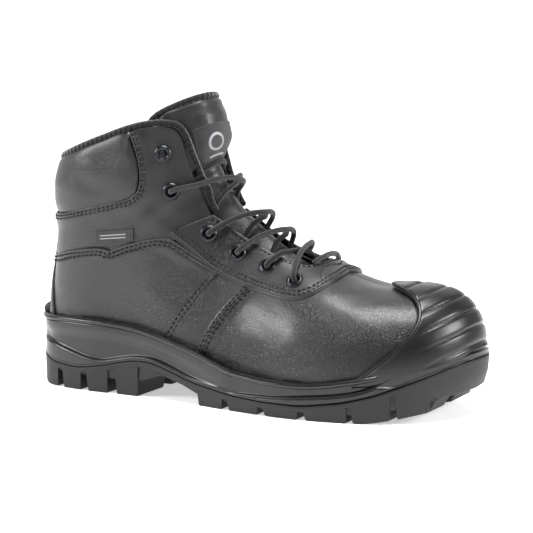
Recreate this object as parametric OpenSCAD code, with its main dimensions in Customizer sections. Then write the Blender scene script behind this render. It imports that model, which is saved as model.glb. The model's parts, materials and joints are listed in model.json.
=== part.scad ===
// Steel toe work boot, right foot. X to the toe, Y to the inner (medial) side, Z up.
// Origin: centre of the sole outline, on the ground.

/* [Size] */
// overall length over the sole, mm
boot_len = 305; // [240:1:330]
// overall width over the sole, mm
boot_wid = 114; // [90:1:130]
// height scale of the upper
rise = 1; // [0.9:0.01:1.15]

/* [Leather] */
// leather thickness, mm
hide = 2; // [1.4:0.1:2.4]
// thickness of the sewn-on overlays, mm
overlay = 1.6; // [1.2:0.1:2]

/* [Toe cap] */
// steel gauge, mm
steel = 2; // [1.5:0.1:2.4]
// how far back the steel reaches, in stations
steel_back = 2.3; // [1.9:0.1:2.6]

/* [Sole] */
// how far the sole edge stands out from the upper, mm
welt = 5; // [4:0.5:7]
// wall of the sole rim beside the upper, mm
rim_wall = 2.2; // [1.8:0.1:2.6]
// tread depth under the heel, mm
heel_tread = 9; // [5:0.5:10]

/* [Lacing] */
// lace thickness, mm
lace_d = 3.5; // [3:0.1:3.6]
// free hole of an eyelet, mm
eyelet_hole = 5.7; // [5:0.1:6.2]
// outside of an eyelet flange, mm
eyelet_flange = 11; // [9:0.5:12]

/* [Hidden] */
kx = boot_len/305; ky = boot_wid/114; kz = rise;
E = 0.01;
// sole outline, clockwise from the toe tip: outer side, heel back (11), inner side
OUT = [[152.5,10],[146,-16],[126,-38],[93,-52],[52,-57],[12,-52],[-28,-43.5],[-68,-38],[-106,-36.5],[-136,-29],[-150,-13],
  [-152.5,3],[-149,20],[-134,35],[-105,41],[-66,41.5],[-26,43],[14,49.5],[52,57],[90,57],[124,48],[145,32]];
// stations up the ridge of the last: x, z, centre y, roundness, side swell, rounding radius
ST = [[112,74.5,9,3.1,0,60],[103,75,8.5,2.9,.5,60],[90,75.5,7.5,2.5,1.5,60],[72,79,6.5,2.2,2,65],[52,88,5.5,2,2,75],
  [30,99,5,1.9,2,85],[10,112,4.5,1.85,2,90],[-6,125,4,1.8,2,90],[-14,136,3.5,1.8,2,85],[-19,147,3,1.8,2,80],
  [-22,158,3,1.8,2,72],[-25,169,3,1.8,2,66],[-28,181,3,1.8,2,60],[-32,194,3,1.8,2,58]];
UL = [0,1,2,3,3.9,4.9,6,7.2,8.9,11];   // where each low station meets the sole outline
BK = [43,76,103,129,152];              // where each high station meets the back seam
function cr(P,u) = let(n=len(P), i=max(0,min(n-2,floor(u))), f=u-i, a=P[i], b=P[i+1],
    z=i>0?P[i-1]:2*a-b, c=i<n-2?P[i+2]:2*b-a)
  0.5*(2*a+(b-z)*f+(2*z-5*a+4*b-c)*f*f+(3*a-z-3*b+c)*f*f*f);
function crn(P,v) = cr(P, v*(len(P)-1));
function plan(u) = let(i=floor(u), f=u-i, z=OUT[(i+21)%22], a=OUT[i%22], b=OUT[(i+1)%22], c=OUT[(i+2)%22])
  0.5*(2*a+(b-z)*f+(2*z-5*a+4*b-c)*f*f+(3*a-z-3*b+c)*f*f*f);
function pin(u,k) = let(a=plan((u+21.98)%22), b=plan((u+.02)%22), d=b-a) plan(u)+k*[-d[1],d[0]]*-1/norm(d);
function ss(a,b,x) = let(q=max(0,min(1,(x-a)/(b-a)))) q*q*(3-2*q);
function se(d,R,p) = let(q=max(0,min(1,1-d/R))) pow(max(0,1-pow(q,p)),1/p);
function zfe(x) = 18+25*(1-ss(-125,35,x))+6*ss(50,155,x);
function xback(z) = -147.5+6*ss(40,105,z)+4*ss(115,165,z);
function wrap(p) = p<-1 ? p+2 : p>1 ? p-2 : p;
function surf0(s,p0) = let(p=wrap(p0), T=cr(ST,s), sg=p<=0?-1:1, t=1-abs(p), m=ss(4.2,9,s),
    u=s<9?cr(UL,s):11, b=s<9?pin(sg<0?u:(22-u)%22,welt):[xback(cr(BK,s-9)),T[2]], zb=s<9?zfe(b[0]):cr(BK,s-9),
    C=pow(max(0,cos(90*t)),2/T[3]), S=pow(sin(90*t),2/T[3]), f=(1-cos(180*t))/2,
    x=b[0]+(T[0]-b[0])*((1-m)*(1-C)+m*f), z=zb+(T[1]-zb)*((1-m)*S+m*f),
    fy=sg*(b[1]-T[2])*C+T[4]*sin(180*t),
    W=(sg<0?35:32.6)+(sg<0?3:5.4)*ss(40,110,z)+(sg<0?6:1)*ss(-90,-20,x)*(1-ss(40,90,z)),
    gy=W*se(norm([x-T[0],z-T[1]]),T[5],2)*se(x-xback(z),42,2.3), M=ss(3.5,6.8,s))
  [x, T[2]+sg*((1-M)*fy+M*gy), z];
function surf(s,p) = let(q=surf0(s,p)) [q[0]*kx,q[1]*ky,q[2]*kz];
function nrm(s1,p1) = let(p=wrap(p1), s=max(.06,s1), a=max(0,s-.03), b=min(13,s+.03), l=s<9?max(-1,p-.01):p-.01, h=s<9?min(1,p+.01):p+.01,
    n=cross(surf(s,h)-surf(s,l), surf(b,p)-surf(a,p)), q=s1<.001?[n[0],0,n[2]]:n) q/norm(q);
function lin(p) = -(2.7+2.9*ss(.34,.43,abs(wrap(p))));                       // inside face of the upper: shallow behind the facings, deep behind the padding
function td(s,p) = -8.8+ss(9.3,10.9,s)*(9.6-6*ss(.1,.24,abs(p)));          // outside face of the tongue
function off(k,s,p) = k==1?lin(p):k==2?td(s,p):0;
function pt(s,p,d,k=0) = surf(s,p)+(d+off(k,s,p))*nrm(s,p);
function grid(A,B,n,m,d,k,b) = [for(i=[0:n]) [for(j=[0:m]) let(v=i/n,w=j/m,q=crn(A,v)*(1-w)+crn(B,v)*w)
  pt(q[0],q[1],d+b*sin(180*v)*sin(180*w),k)]];

// a curved sheet with thickness between two grids of points
module skin(O,I,weld=false) {
  n=len(O)-1; m=len(O[0])-1; N=(n+1)*(m+1);
  ci=floor(n/2); cj=floor(m/2);
  up=cross(O[ci+1][cj]-O[ci][cj],O[ci][cj+1]-O[ci][cj])*(O[ci][cj]-I[ci][cj])>0;
  function id(i,j)=(weld&&i==0)?min(j,m-j):i*(m+1)+j;
  function fl(f)=up?[f[2],f[1],f[0]]:f;
  loop=concat([for(i=[0:n]) id(i,0)],[for(j=[1:m]) id(n,j)],[for(i=[1:1:n-1]) id(n-i,m)],weld?[]:[for(j=[0:1:m-1]) id(0,m-j)]);
  L=len(loop);
  polyhedron(points=[for(r=O) each r,for(r=I) each r], faces=concat(
    [for(i=[0:n-1],j=[0:m-1]) each [fl([id(i,j),id(i+1,j),id(i+1,j+1)]),fl([id(i,j),id(i+1,j+1),id(i,j+1)])]],
    [for(i=[0:n-1],j=[0:m-1]) each [fl([N+id(i+1,j+1),N+id(i+1,j),N+id(i,j)]),fl([N+id(i,j+1),N+id(i+1,j+1),N+id(i,j)])]],
    [for(a=[0:L-1]) let(b=(a+1)%L) each [fl([loop[b],loop[a],N+loop[a]]),fl([loop[b],N+loop[a],N+loop[b]])]]));
}
// sheet between two seam lines A and B, from depth d0 out to d1
module sheet(A,B,n,m,d0,d1,k=0,b=0,weld=false) skin(grid(A,B,n,m,d1,k,b),grid(A,B,n,m,d0,k,b),weld);
function flip(A)=[for(a=A) [a[0],-a[1]]];
// round cord through a list of points
module tube(P,r,sides=8) {
  n=len(P)-1;
  T=[for(i=[0:n]) let(d=P[min(n,i+1)]-P[max(0,i-1)]) d/norm(d)];
  u0=cross(T[0],abs(T[0][2])<.9?[0,0,1]:[1,0,0]);
  U=[for(i=0,u=u0/norm(u0); i<=n; i=i+1, u=i<=n?(let(w=u-T[i]*(u*T[i])) w/norm(w)):u) u];
  polyhedron(points=[for(i=[0:n],k=[0:sides-1]) let(a=360*k/sides) P[i]+r*(cos(a)*U[i]+sin(a)*cross(T[i],U[i]))],
    faces=concat([[for(k=[0:sides-1]) k]],[[for(k=[0:sides-1]) n*sides+sides-1-k]],
      [for(i=[0:n-1],k=[0:sides-1]) let(a=i*sides+k,b=i*sides+(k+1)%sides) each [[b,a,a+sides],[b,a+sides,b+sides]]]));
}
// stack of closed loops, capped straight across
module stack(R) {
  K=len(R)-1; n=len(R[0]);
  function q(i,j)=i*n+(j%n);
  polyhedron(points=[for(r=R) each r], faces=[for(f=concat(
    [for(i=[0:K-1],j=[0:n-1]) each [[q(i,j+1),q(i,j),q(i+1,j)],[q(i,j+1),q(i+1,j),q(i+1,j+1)]]],
    [for(j=[0:n/2-1]) each (j==0?[[q(0,0),q(0,1),q(0,n-1)]]:j==n/2-1?[[q(0,j),q(0,j+1),q(0,n-j)]]:[[q(0,j),q(0,j+1),q(0,n-j-1)],[q(0,j),q(0,n-j-1),q(0,n-j)]])],
    [for(j=[0:n/2-1]) each (j==0?[[q(K,n-1),q(K,1),q(K,0)]]:j==n/2-1?[[q(K,n-j),q(K,j+1),q(K,j)]]:[[q(K,n-j-1),q(K,j+1),q(K,j)],[q(K,n-j),q(K,n-j-1),q(K,j)]])])) [f[2],f[1],f[0]]]);
}
NL = 56;
function ring(inset,zt,dz=0) = [for(j=[0:NL-1]) let(q=pin(22*j/NL,inset)) [q[0]*kx,q[1]*ky,lookup(q[0],zt)+dz]];
// a flat loop on the foot side of the sole; w draws it in further beside the waist
function fring(inset,dz,w=0) = [for(j=[0:NL-1]) let(o=plan(22*j/NL), q=pin(22*j/NL,inset+w*(o[1]<0?1:.4)*ss(-60,-15,o[0])*(1-ss(40,75,o[0])))) [q[0]*kx,q[1]*ky,zfe(q[0])+dz]];
// heights along the boot: outsole edge line, inner parting, slab underside, tread, rim
ZO = [[-152.5,24],[-135,17],[-113,15],[-93,18],[-70,23.3],[-55,23.5],[-40,19.5],[-23,14.4],[9,10],[31,9],[59,9],[84,13.5],[118,24],[138,32],[152.5,38]];
ZI = [[-152.5,13.5],[-113,13],[-93,15.3],[-70,19],[-55,19.5],[-40,16.5],[-23,12],[9,8],[31,7.3],[59,7],[84,9],[118,13.5],[138,16.5],[152.5,19]];
ZS = [[-152.5,11],[-65,heel_tread],[-61,10.5],[-52,15.5],[-45,15.3],[-30,11],[-20,7],[-10,4.7],[60,4.4],[95,5],[118,9],[138,13],[152.5,16.5]];
ZT = [[-152.5,3],[-142,0],[98,0],[113,2.6],[141,8.8],[150,13]];
ZR = [[-152.5,47],[-120,48],[-85,48],[-49,42.5],[-20,34],[8,25],[29,21.5],[56,20.5],[82,22],[96,24.5],[108,28],[118,31],[138,38.5],[152.5,44.5]];
YL = [for(k=[11:-1:0]) [OUT[k][0],OUT[k][1]]];
YM = [for(k=[11:21]) OUT[k]];
// tread blocks: from x to x
BLK = [[-146,-129],[-125,-109],[-104.5,-88],[-82.5,-65],[-18,2],[6,29],[33,57],[61,88],[90.5,113],[115.5,140]];
function rp(z,a,d) = let(xb=xback(z), q=abs(a), sg=a<0?-1:1, x=q<=1?xb+42*(1-pow(cos(90*q),2/2.3)):xb+42+(q-1)*60,
    W=(sg<0?35:32.6)+(sg<0?3:5.4)*ss(40,110,z)+(sg<0?6:1)*ss(-90,-20,x)*(1-ss(40,90,z))) [x*kx,(3+sg*W*se(x-xb,42,2.3))*ky,z*kz];
function rn(z,a) = let(n=cross(rp(z,a+.02,0)-rp(z,a-.02,0), rp(z+.5,a,0)-rp(z-.5,a,0))) -n/norm(n);
function rpt(z,a,d) = rp(z,a,0)+d*rn(z,a);
module rsheet(a0,a1,zlo,zhi,n,m,d0,d1) skin(
  [for(i=[0:n]) let(a=a0+(a1-a0)*i/n) [for(j=[0:m]) rpt(lookup(a,zlo)+(lookup(a,zhi)-lookup(a,zlo))*j/m,a,d1)]],
  [for(i=[0:n]) let(a=a0+(a1-a0)*i/n) [for(j=[0:m]) rpt(lookup(a,zlo)+(lookup(a,zhi)-lookup(a,zlo))*j/m,a,d0)]]);
// eyelet places: A (empty, top) to F, outer side; the inner side mirrors them
EY = [[11.06,-.311],[9.36,-.295],[6.73,-.317],[5.87,-.35],[5.14,-.362],[4.44,-.382]];
module at(s,p) { n=nrm(s,p); u0=cross(n,[0,0,1]); u=u0/norm(u0); w=cross(n,u); c=surf(s,p);
  multmatrix([[u[0],w[0],n[0],c[0]],[u[1],w[1],n[1],c[1]],[u[2],w[2],n[2],c[2]],[0,0,0,1]]) children(); }
module eyelet(s,p,top) at(s,p) rotate_extrude($fn=48)
  polygon([[eyelet_hole/2,-4.4],[eyelet_hole/2+.5,-4.4],[eyelet_hole/2+.5,top],[eyelet_flange/2,top],[eyelet_flange/2,top+.5],[eyelet_flange/2-1,top+1.2],[eyelet_hole/2,top+.8]]);
module holes(sg,list) for(i=list) at(EY[i][0],EY[i][1]*sg) translate([0,0,-9]) cylinder(h=14,r=eyelet_hole/2+1.1,$fn=32);

// ---- sole unit ----
module outsole() color("#26282a") union() {
  stack([ring(5,ZS),ring(1,ZS,.6),ring(0,ZS,2),ring(0,ZO,-.8),ring(.5,ZO),ring(rim_wall-.6,ZO),ring(rim_wall-.6,ZI)]);
  for(b=BLK, sd=[-1,1]) let(n=3) stack([for(z=[1,0]) [for(e=[0,1]) each [for(i=[0:n]) let(ii=e==0?i:n-i, x=(b[0]+(b[1]-b[0])*ii/n),
      yo=sd<0?lookup(x,YL)+1.2+z*.3:lookup(x,YM)-1.2-z*.3, yi=sd<0?-2:7, xx=x+(z==0?0:(ii==0?1:ii==n?-1:0))) [xx*kx,(e==0?(sd<0?yi:yo):(sd<0?yo:yi))*ky,z==0?lookup(x,ZS)+1.2:lookup(x,ZT)]]]]);
}
module midsole() color("#2b2c2f") stack([ring(rim_wall,ZI,.3),ring(rim_wall,ZO,.35),ring(.6,ZO,.35),ring(0,ZO,1.6),ring(.5,ZR,-3),ring(0,ZR,-1.2),ring(.9,ZR),
  ring(welt-1.6,ZR),fring(welt-1.6,-3.4)]);
module toe_scuff_cap() color("#303133") {
  G=function(d) [for(i=[0:9]) [for(j=[0:16]) let(r=-1+2*j/16, q=abs(r), sr=q>.8?2.3-1.0*(q-.8):q>.4?1.72+.58*ss(.4,.8,q):1.9-.18*ss(0,.4,q), s=sr*i/9) pt(s,r*(.825+.043*s),d)]];
  skin(G(4),G(.6),weld=true); }
module puncture_plate() color("#c9cbc4") stack([fring(welt+2.8,-3),fring(welt+2.8,-1.7)]);
module insole_board() color("#8d7a5c") stack([fring(welt+4.5,-1.3,3),fring(welt+4.5,.7,3)]);
module insole() color("#4a4d52") stack([fring(welt+9.6,1.2,4),fring(welt+9.2,3,4),fring(welt+9.6,6,4)]);

// ---- toe ----
module steel_toe_cap() color("#8f949a") skin([for(i=[0:8]) [for(j=[0:16]) pt(steel_back*i/8,-.93+1.86*j/16,-2.5)]],[for(i=[0:8]) [for(j=[0:16]) pt(steel_back*i/8,-.93+1.86*j/16,-2.5-steel)]],weld=true);
function ve(q) = q>.5 ? 5.43+.5*ss(.5,1,q) : 3.85+1.55*ss(.36,.54,q);
module vamp() color("#202124") skin([for(i=[0:10]) [for(j=[0:22]) let(p=-.99+1.98*j/22) pt(ve(abs(p))*i/10,p,0)]],[for(i=[0:10]) [for(j=[0:22]) let(p=-.99+1.98*j/22) pt(ve(abs(p))*i/10,p,-hide)]],weld=true);
module vamp_lining() color("#6b6f75") skin([for(i=[0:8]) [for(j=[0:18]) let(p=-.93+1.86*j/18) pt(3.9*i/8,p,-5.1)]],[for(i=[0:8]) [for(j=[0:18]) let(p=-.93+1.86*j/18) pt(3.9*i/8,p,-6)]],weld=true);

// ---- sides ----
QA = [[6.47,-.99],[7.6,-.99],[8.6,-.99],[9.3,-.985],[9.9,-.985],[10.3,-.985]];
QB = [[6.05,-.51],[7.0,-.46],[8.3,-.49],[9.4,-.57],[9.95,-.74],[10.32,-.95]];
SA = [[5.50,-.53],[5.63,-.65],[5.80,-.80],[5.97,-.99]];
SB = [[5.99,-.52],[6.14,-.66],[6.28,-.82],[6.42,-.99]];
PA = [[10.48,-.985],[10.05,-.72],[9.5,-.555],[8.4,-.47],[7.5,-.42],[7.1,-.25],[8.3,-.205],[10.3,-.23],[11.7,-.26],[12.35,-.37]];
PB = [[11.4,-.985],[10.9,-.66],[10.45,-.50],[10.2,-.45],[10.1,-.43],[10.1,-.42],[10.2,-.41],[10.7,-.40],[11.5,-.41],[12.3,-.43]];
module quarter_lateral() color("#232427") sheet(QA,QB,12,8,-hide,0);
module quarter_medial() color("#232427") sheet(flip(QA),flip(QB),12,8,-hide,0);
module side_strap_lateral() color("#2a2b2e") sheet(SA,SB,8,3,-hide,0);
module side_strap_medial() color("#2a2b2e") sheet(flip(SA),flip(SB),8,3,-hide,0);
module ankle_panel_lateral() color("#222326") difference() { sheet(PA,PB,20,6,-hide,0); holes(1,[0,1]); }
module ankle_panel_medial() color("#222326") difference() { sheet(flip(PA),flip(PB),20,6,-hide,0); holes(-1,[0,1]); }
// one U-shaped piece round the throat: outer edge and facing edge, outer side round to inner side
XH = [[7.35,-.40],[6.7,-.45],[6.04,-.50],[5.47,-.525],[4.9,-.525],[4.43,-.50],[4.1,-.44],[3.75,-.30],[3.52,-.12]];
XF = [[7.0,-.235],[6.6,-.235],[6.2,-.24],[5.75,-.248],[5.25,-.253],[4.87,-.25],[4.56,-.245],[4.3,-.19],[4.14,-.08]];
EA = concat(XH,[for(i=[len(XH)-1:-1:0]) [XH[i][0],-XH[i][1]]]);
EB = concat(XF,[for(i=[len(XF)-1:-1:0]) [XF[i][0],-XF[i][1]]]);
module eyestay() color("#1f2023") difference() { sheet(EA,EB,34,4,.5,.5+overlay); holes(1,[2,3,4,5]); holes(-1,[2,3,4,5]); }
module backstrap() color("#1d1e20") rsheet(-.30,.30,[[-.3,52],[0,50.5],[.3,52]],[[-.3,80],[-.17,117],[.17,117],[.3,80]],6,8,.5,.5+overlay);
module heel_counter() color("#b9b3a4") rsheet(-1.35,1.35,[[-1.35,47],[0,46],[1.35,47]],[[-1.35,60],[-.9,84],[0,92],[.9,84],[1.35,60]],22,5,-4.7,-3.2);

// ---- collar ----
CA = [[12.3,-.455],[11.3,-.435],[10.65,-.445],[10.62,-.53],[11.08,-.69],[11.43,-.85],[11.62,-1],[11.43,-1.15],[11.08,-1.31],[10.62,-1.47],[10.65,-1.555],[11.3,-1.565],[12.3,-1.545]];
CB = [[12.45,-.46],[12.46,-.5],[12.48,-.54],[12.52,-.6],[12.58,-.7],[12.64,-.84],[12.68,-1],[12.64,-1.16],[12.58,-1.3],[12.52,-1.4],[12.48,-1.46],[12.46,-1.5],[12.45,-1.54]];
module collar_cuff() color("#232427") sheet(CA,CB,26,6,-hide+.4,0,b=2.2);
module collar_foam() color("#d8c98f") sheet(CA,CB,26,5,-4.9,-2.1);
BP = [[7.15,-.195],[8.2,-.165],[9.2,-.175],[10.3,-.195],[11.3,-.21],[11.9,-.235],[12.25,-.285],[12.5,-.36],[12.62,-.44],[12.68,-.56],[12.76,-.72],[12.84,-.86],[12.87,-1]];
BR = concat(BP,[for(i=[len(BP)-2:-1:0]) [BP[i][0],-2-BP[i][1]]]);
module collar_binding() color("#151517") tube([for(i=[0:60]) let(q=crn(BR,i/60)) pt(q[0],q[1],-2-1.2*ss(.3,.6,abs(wrap(q[1]))))],2);
LA = [[4.4,-.955],[5.5,-.955],[6.6,-.955],[7.8,-.955],[8.7,-.96],[9.4,-.985],[10.5,-.985],[11.5,-.985],[12.5,-.985]];
LB = [[4.4,-.265],[5.3,-.265],[6.2,-.255],[7.1,-.245],[8.3,-.225],[9.6,-.235],[10.7,-.25],[11.6,-.275],[12.2,-.36]];
module lining(sg) { Q=function(a) sg>0?a:flip(a); sheet(Q(LA),Q(LB),20,12,-.9,0,k=1); }
module quarter_lining_lateral() color("#5d6167") difference() { lining(1); holes(1,[0,1,2,3,4,5]); }
module quarter_lining_medial() color("#5d6167") difference() { lining(-1); holes(-1,[0,1,2,3,4,5]); }

// ---- tongue ----
TA = [[4.45,-.20],[5.3,-.27],[6.5,-.31],[8.2,-.31],[10,-.31],[11.4,-.315],[12.3,-.325],[12.55,-.30]];
TB = [[4.45,.20],[5.3,.27],[6.5,.31],[8.2,.31],[10,.31],[11.4,.315],[12.3,.325],[12.55,.30]];
module tongue_shell() color("#202124") sheet(TA,TB,20,8,-1.1,0,k=2);
module tongue_foam() color("#d8c98f") sheet(TA,TB,20,8,-4.7,-1.4,k=2);
module tongue_lining() color("#5d6167") sheet(TA,TB,20,8,-5.9,-5,k=2);
TT = [[11.5,-.345],[12.2,-.355],[12.62,-.34],[12.8,-.24],[12.84,0],[12.8,.24],[12.62,.34],[12.2,.355],[11.5,.345]];
module tongue_binding() color("#151517") tube([for(i=[0:28]) let(q=crn(TT,i/28)) pt(q[0],q[1],-2.6,2)],2.2);
module tongue_label() color("#17181a") sheet([[9.7,-.15],[10.5,-.165],[11.45,-.18]],[[9.7,.15],[10.5,.165],[11.45,.18]],8,6,.5,1.4,k=2);
GA = [[5.0,-.25],[6.3,-.29],[8.0,-.285],[9.2,-.285]];
GB = [[5.0,-.33],[6.3,-.35],[8.0,-.35],[9.2,-.35]];
module gusset_lateral() color("#18191b") sheet(GA,GB,10,2,-8.5,-8.05);
module gusset_medial() color("#18191b") sheet(flip(GA),flip(GB),10,2,-8.5,-8.05);

// ---- trims and lacing ----
module eyelets_lateral() color("#3b3d41") for(i=[2:5]) eyelet(EY[i][0],EY[i][1],.5+overlay+.3);
module eyelets_medial() color("#3b3d41") for(i=[2:5]) eyelet(EY[i][0],-EY[i][1],.5+overlay+.3);
module instep_eyelets() color("#3b3d41") for(g=[1,-1]) eyelet(EY[1][0],EY[1][1]*g,.15);
module top_eyelet_lateral() color("#3b3d41") eyelet(EY[0][0],EY[0][1],.15);
module top_eyelet_medial() color("#3b3d41") eyelet(EY[0][0],-EY[0][1],.15);
// a lace run that leaves eyelet i on side g, crosses the throat at depth c and comes up inside eyelet j on the far side
function run(i,g,j,c) = let(a=EY[i], b=EY[j], A=a[1]*g, B=-b[1]*g, h=i<2?3.4:4.4, f=sign(-A), over=c>1, S=function(q) a[0]*(1-q)+b[0]*q) concat(
  [[a[0],A,-5.5],[a[0],A,-2],[a[0],A,h-1],[a[0]-.05,A+f*.018,h+1.2],[S(.2),A+f*.11,h+.6],[S(.34),A+f*.2,over?4.2:1.4],[S(.5),0,c]],
  i<2 ? [[S(.62),B-f*.22,-4.6],[S(.8),B-f*.12,-6.2],[b[0]+.02,B-f*.03,-6.2]]
      : [[S(.64),B-f*.23,over?2.2:-3.2],[S(.78),B-f*.13,-5.6],[b[0]+.01,B-f*.03,-6.2]]);
R1 = concat(run(1,1,2,3.4),run(2,-1,3,-1.6),run(3,1,4,3.2),
  [[5.14,.362,-5.5],[5.14,.362,-2],[5.14,.362,3.4],[5.1,.34,5.6],[4.95,.22,4.8],[4.8,0,3.6],[4.62,-.22,4.8],[4.47,-.36,5.6],[4.44,-.382,3.4],[4.44,-.382,-2],[4.44,-.384,-5.5],[4.54,-.405,-7.8],[4.9,-.44,-8.7],[5.2,-.45,-8.7]]);
R2 = concat(run(1,-1,2,-1),run(2,1,3,3.2),run(3,-1,4,-1.6),run(4,1,5,-1.6),
  [[4.44,.382,-5.5],[4.44,.382,-2],[4.44,.382,3.4],[4.4,.35,5.6],[4.3,.22,4.8],[4.22,.08,4.2],[4.2,-.08,4.2],[4.26,-.2,3.6]]);
RT = concat([for(i=[len(R1)-1:-1:0]) R1[i]],[[9.39,-.24,-6.1],[9.4,-.16,-6],[9.4,-.08,-6],[9.4,0,-6],[9.4,.08,-6],[9.4,.16,-6],[9.39,.24,-6.1]],R2);
LN = floor(1.9*(len(RT)-1));
module lace() color("#111113") tube([for(i=[0:LN]) let(q=crn(RT,i/LN)) pt(q[0],q[1],q[2])],lace_d/2,8);
module lace_aglets() color("#2e3033") tube([for(i=[0:2]) let(a=pt(5.2,-.45,-8.7), b=pt(4.9,-.44,-8.7), t=(a-b)/norm(a-b)) a+t*(.5+7*i)],1.7,10);
module side_label() color("#141416") skin([for(i=[0:4]) [for(j=[0:1]) let(x=-70-28*i/4) rpt(99.5-3*i/4+8*j,-1-(x+100.1)/60,1.1)]],
  [for(i=[0:4]) [for(j=[0:1]) let(x=-70-28*i/4) rpt(99.5-3*i/4+8*j,-1-(x+100.1)/60,.4)]]);

outsole();
midsole();
toe_scuff_cap();
puncture_plate();
insole_board();
insole();
steel_toe_cap();
vamp();
vamp_lining();
quarter_lateral();
quarter_medial();
side_strap_lateral();
side_strap_medial();
ankle_panel_lateral();
ankle_panel_medial();
eyestay();
backstrap();
heel_counter();
collar_cuff();
collar_foam();
collar_binding();
quarter_lining_lateral();
quarter_lining_medial();
tongue_shell();
tongue_foam();
tongue_lining();
tongue_binding();
tongue_label();
gusset_lateral();
gusset_medial();
eyelets_lateral();
eyelets_medial();
instep_eyelets();
top_eyelet_lateral();
top_eyelet_medial();
lace();
lace_aglets();
side_label();
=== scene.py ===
import json
import math
import bpy
import numpy as np
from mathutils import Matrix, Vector

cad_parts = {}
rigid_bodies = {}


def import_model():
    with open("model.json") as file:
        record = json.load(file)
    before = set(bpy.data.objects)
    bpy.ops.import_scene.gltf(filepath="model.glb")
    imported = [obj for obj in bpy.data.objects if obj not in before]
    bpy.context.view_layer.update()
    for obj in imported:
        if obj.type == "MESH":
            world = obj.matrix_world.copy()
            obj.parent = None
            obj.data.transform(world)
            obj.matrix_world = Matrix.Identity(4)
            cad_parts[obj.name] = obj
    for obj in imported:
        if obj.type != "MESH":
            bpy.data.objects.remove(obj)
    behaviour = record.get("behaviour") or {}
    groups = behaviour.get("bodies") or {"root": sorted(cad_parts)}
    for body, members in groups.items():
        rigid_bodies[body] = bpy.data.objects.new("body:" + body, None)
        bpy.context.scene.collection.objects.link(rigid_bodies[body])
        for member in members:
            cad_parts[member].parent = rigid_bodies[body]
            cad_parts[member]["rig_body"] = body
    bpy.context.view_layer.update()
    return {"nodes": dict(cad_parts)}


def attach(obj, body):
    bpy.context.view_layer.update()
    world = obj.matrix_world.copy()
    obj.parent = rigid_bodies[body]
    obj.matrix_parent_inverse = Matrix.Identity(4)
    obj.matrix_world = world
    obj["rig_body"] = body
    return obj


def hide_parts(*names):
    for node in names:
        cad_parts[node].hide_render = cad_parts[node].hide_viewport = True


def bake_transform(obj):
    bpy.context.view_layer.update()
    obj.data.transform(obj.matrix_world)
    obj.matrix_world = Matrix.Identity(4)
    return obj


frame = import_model()

# ---------------------------------------------------------------- lining
# Knitted spacer mesh, glued to the back of the leather and sewn to it round the topline and the
# throat. It is the first thing pulled over the last, so the shape of the last is worked out here:
# every leather, lining and foam piece is a sheet of that one surface at its own depth.
# s runs up the ridge from the toe (0) to the top of the tongue (13); p runs across, -1 outer side,
# 0 ridge, +1 inner side. Everything is in millimetres until a mesh is made.
outline = np.array([[152.5, 10], [146, -16], [126, -38], [93, -52], [52, -57], [12, -52], [-28, -43.5], [-68, -38],
                    [-106, -36.5], [-136, -29], [-150, -13], [-152.5, 3], [-149, 20], [-134, 35], [-105, 41],
                    [-66, 41.5], [-26, 43], [14, 49.5], [52, 57], [90, 57], [124, 48], [145, 32]], float)
# ridge x, ridge z, centre y, roundness, side swell, rounding radius
stations = np.array([[112, 74.5, 9, 3.1, 0, 60], [103, 75, 8.5, 2.9, .5, 60], [90, 75.5, 7.5, 2.5, 1.5, 60],
                     [72, 79, 6.5, 2.2, 2, 65], [52, 88, 5.5, 2, 2, 75], [30, 99, 5, 1.9, 2, 85],
                     [10, 112, 4.5, 1.85, 2, 90], [-6, 125, 4, 1.8, 2, 90], [-14, 136, 3.5, 1.8, 2, 85],
                     [-19, 147, 3, 1.8, 2, 80], [-22, 158, 3, 1.8, 2, 72], [-25, 169, 3, 1.8, 2, 66],
                     [-28, 181, 3, 1.8, 2, 60], [-32, 194, 3, 1.8, 2, 58]], float)
on_outline = np.array([0, 1, 2, 3, 3.9, 4.9, 6, 7.2, 8.9, 11.])
on_back = np.array([43, 76, 103, 129, 152.])
welt = 5.0


def spline(points, u):
    """Catmull-Rom through a list of rows, u counted in rows."""
    points = np.asarray(points, float)
    u = np.asarray(u, float)
    i = np.clip(np.floor(u), 0, len(points) - 2).astype(int)
    f = u - i
    a, b = points[i], points[i + 1]
    z, c = points[np.maximum(i - 1, 0)], points[np.minimum(i + 2, len(points) - 1)]
    first, last_one = i == 0, i == len(points) - 2
    if points.ndim > 1:
        first, last_one, f = first[..., None], last_one[..., None], f[..., None]
    z = np.where(first, 2 * a - b, z)
    c = np.where(last_one, 2 * b - a, c)
    return .5 * (2 * a + (b - z) * f + (2 * z - 5 * a + 4 * b - c) * f * f + (3 * a - z - 3 * b + c) * f ** 3)


def plan(u):
    """The closed sole outline, u from 0 at the toe over the outer side and heel (11) back to 22."""
    i = np.floor(np.asarray(u, float) % 22).astype(int)
    f = (np.asarray(u, float) % 22 - i)[..., None]
    z, a, b, c = (outline[(i + k) % 22] for k in (21, 0, 1, 2))
    return .5 * (2 * a + (b - z) * f + (2 * z - 5 * a + 4 * b - c) * f * f + (3 * a - z - 3 * b + c) * f ** 3)


def plan_in(u, inset):
    """The outline moved inwards by inset, along its own normal."""
    d = plan(u + .02) - plan(u - .02)
    turned = np.stack([-d[..., 1], d[..., 0]], -1) / np.linalg.norm(d, axis=-1, keepdims=True)
    return plan(u) - np.asarray(inset)[..., None] * turned


def step(a, b, x):
    """0 before a, 1 after b, smooth between."""
    q = np.clip((x - a) / (b - a), 0, 1)
    return q * q * (3 - 2 * q)


def dome(d, radius, power):
    """A rounded shoulder: 0 at the edge, 1 from radius inwards."""
    return np.clip(1 - np.clip(1 - d / radius, 0, 1) ** power, 0, None) ** (1 / power)


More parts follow.
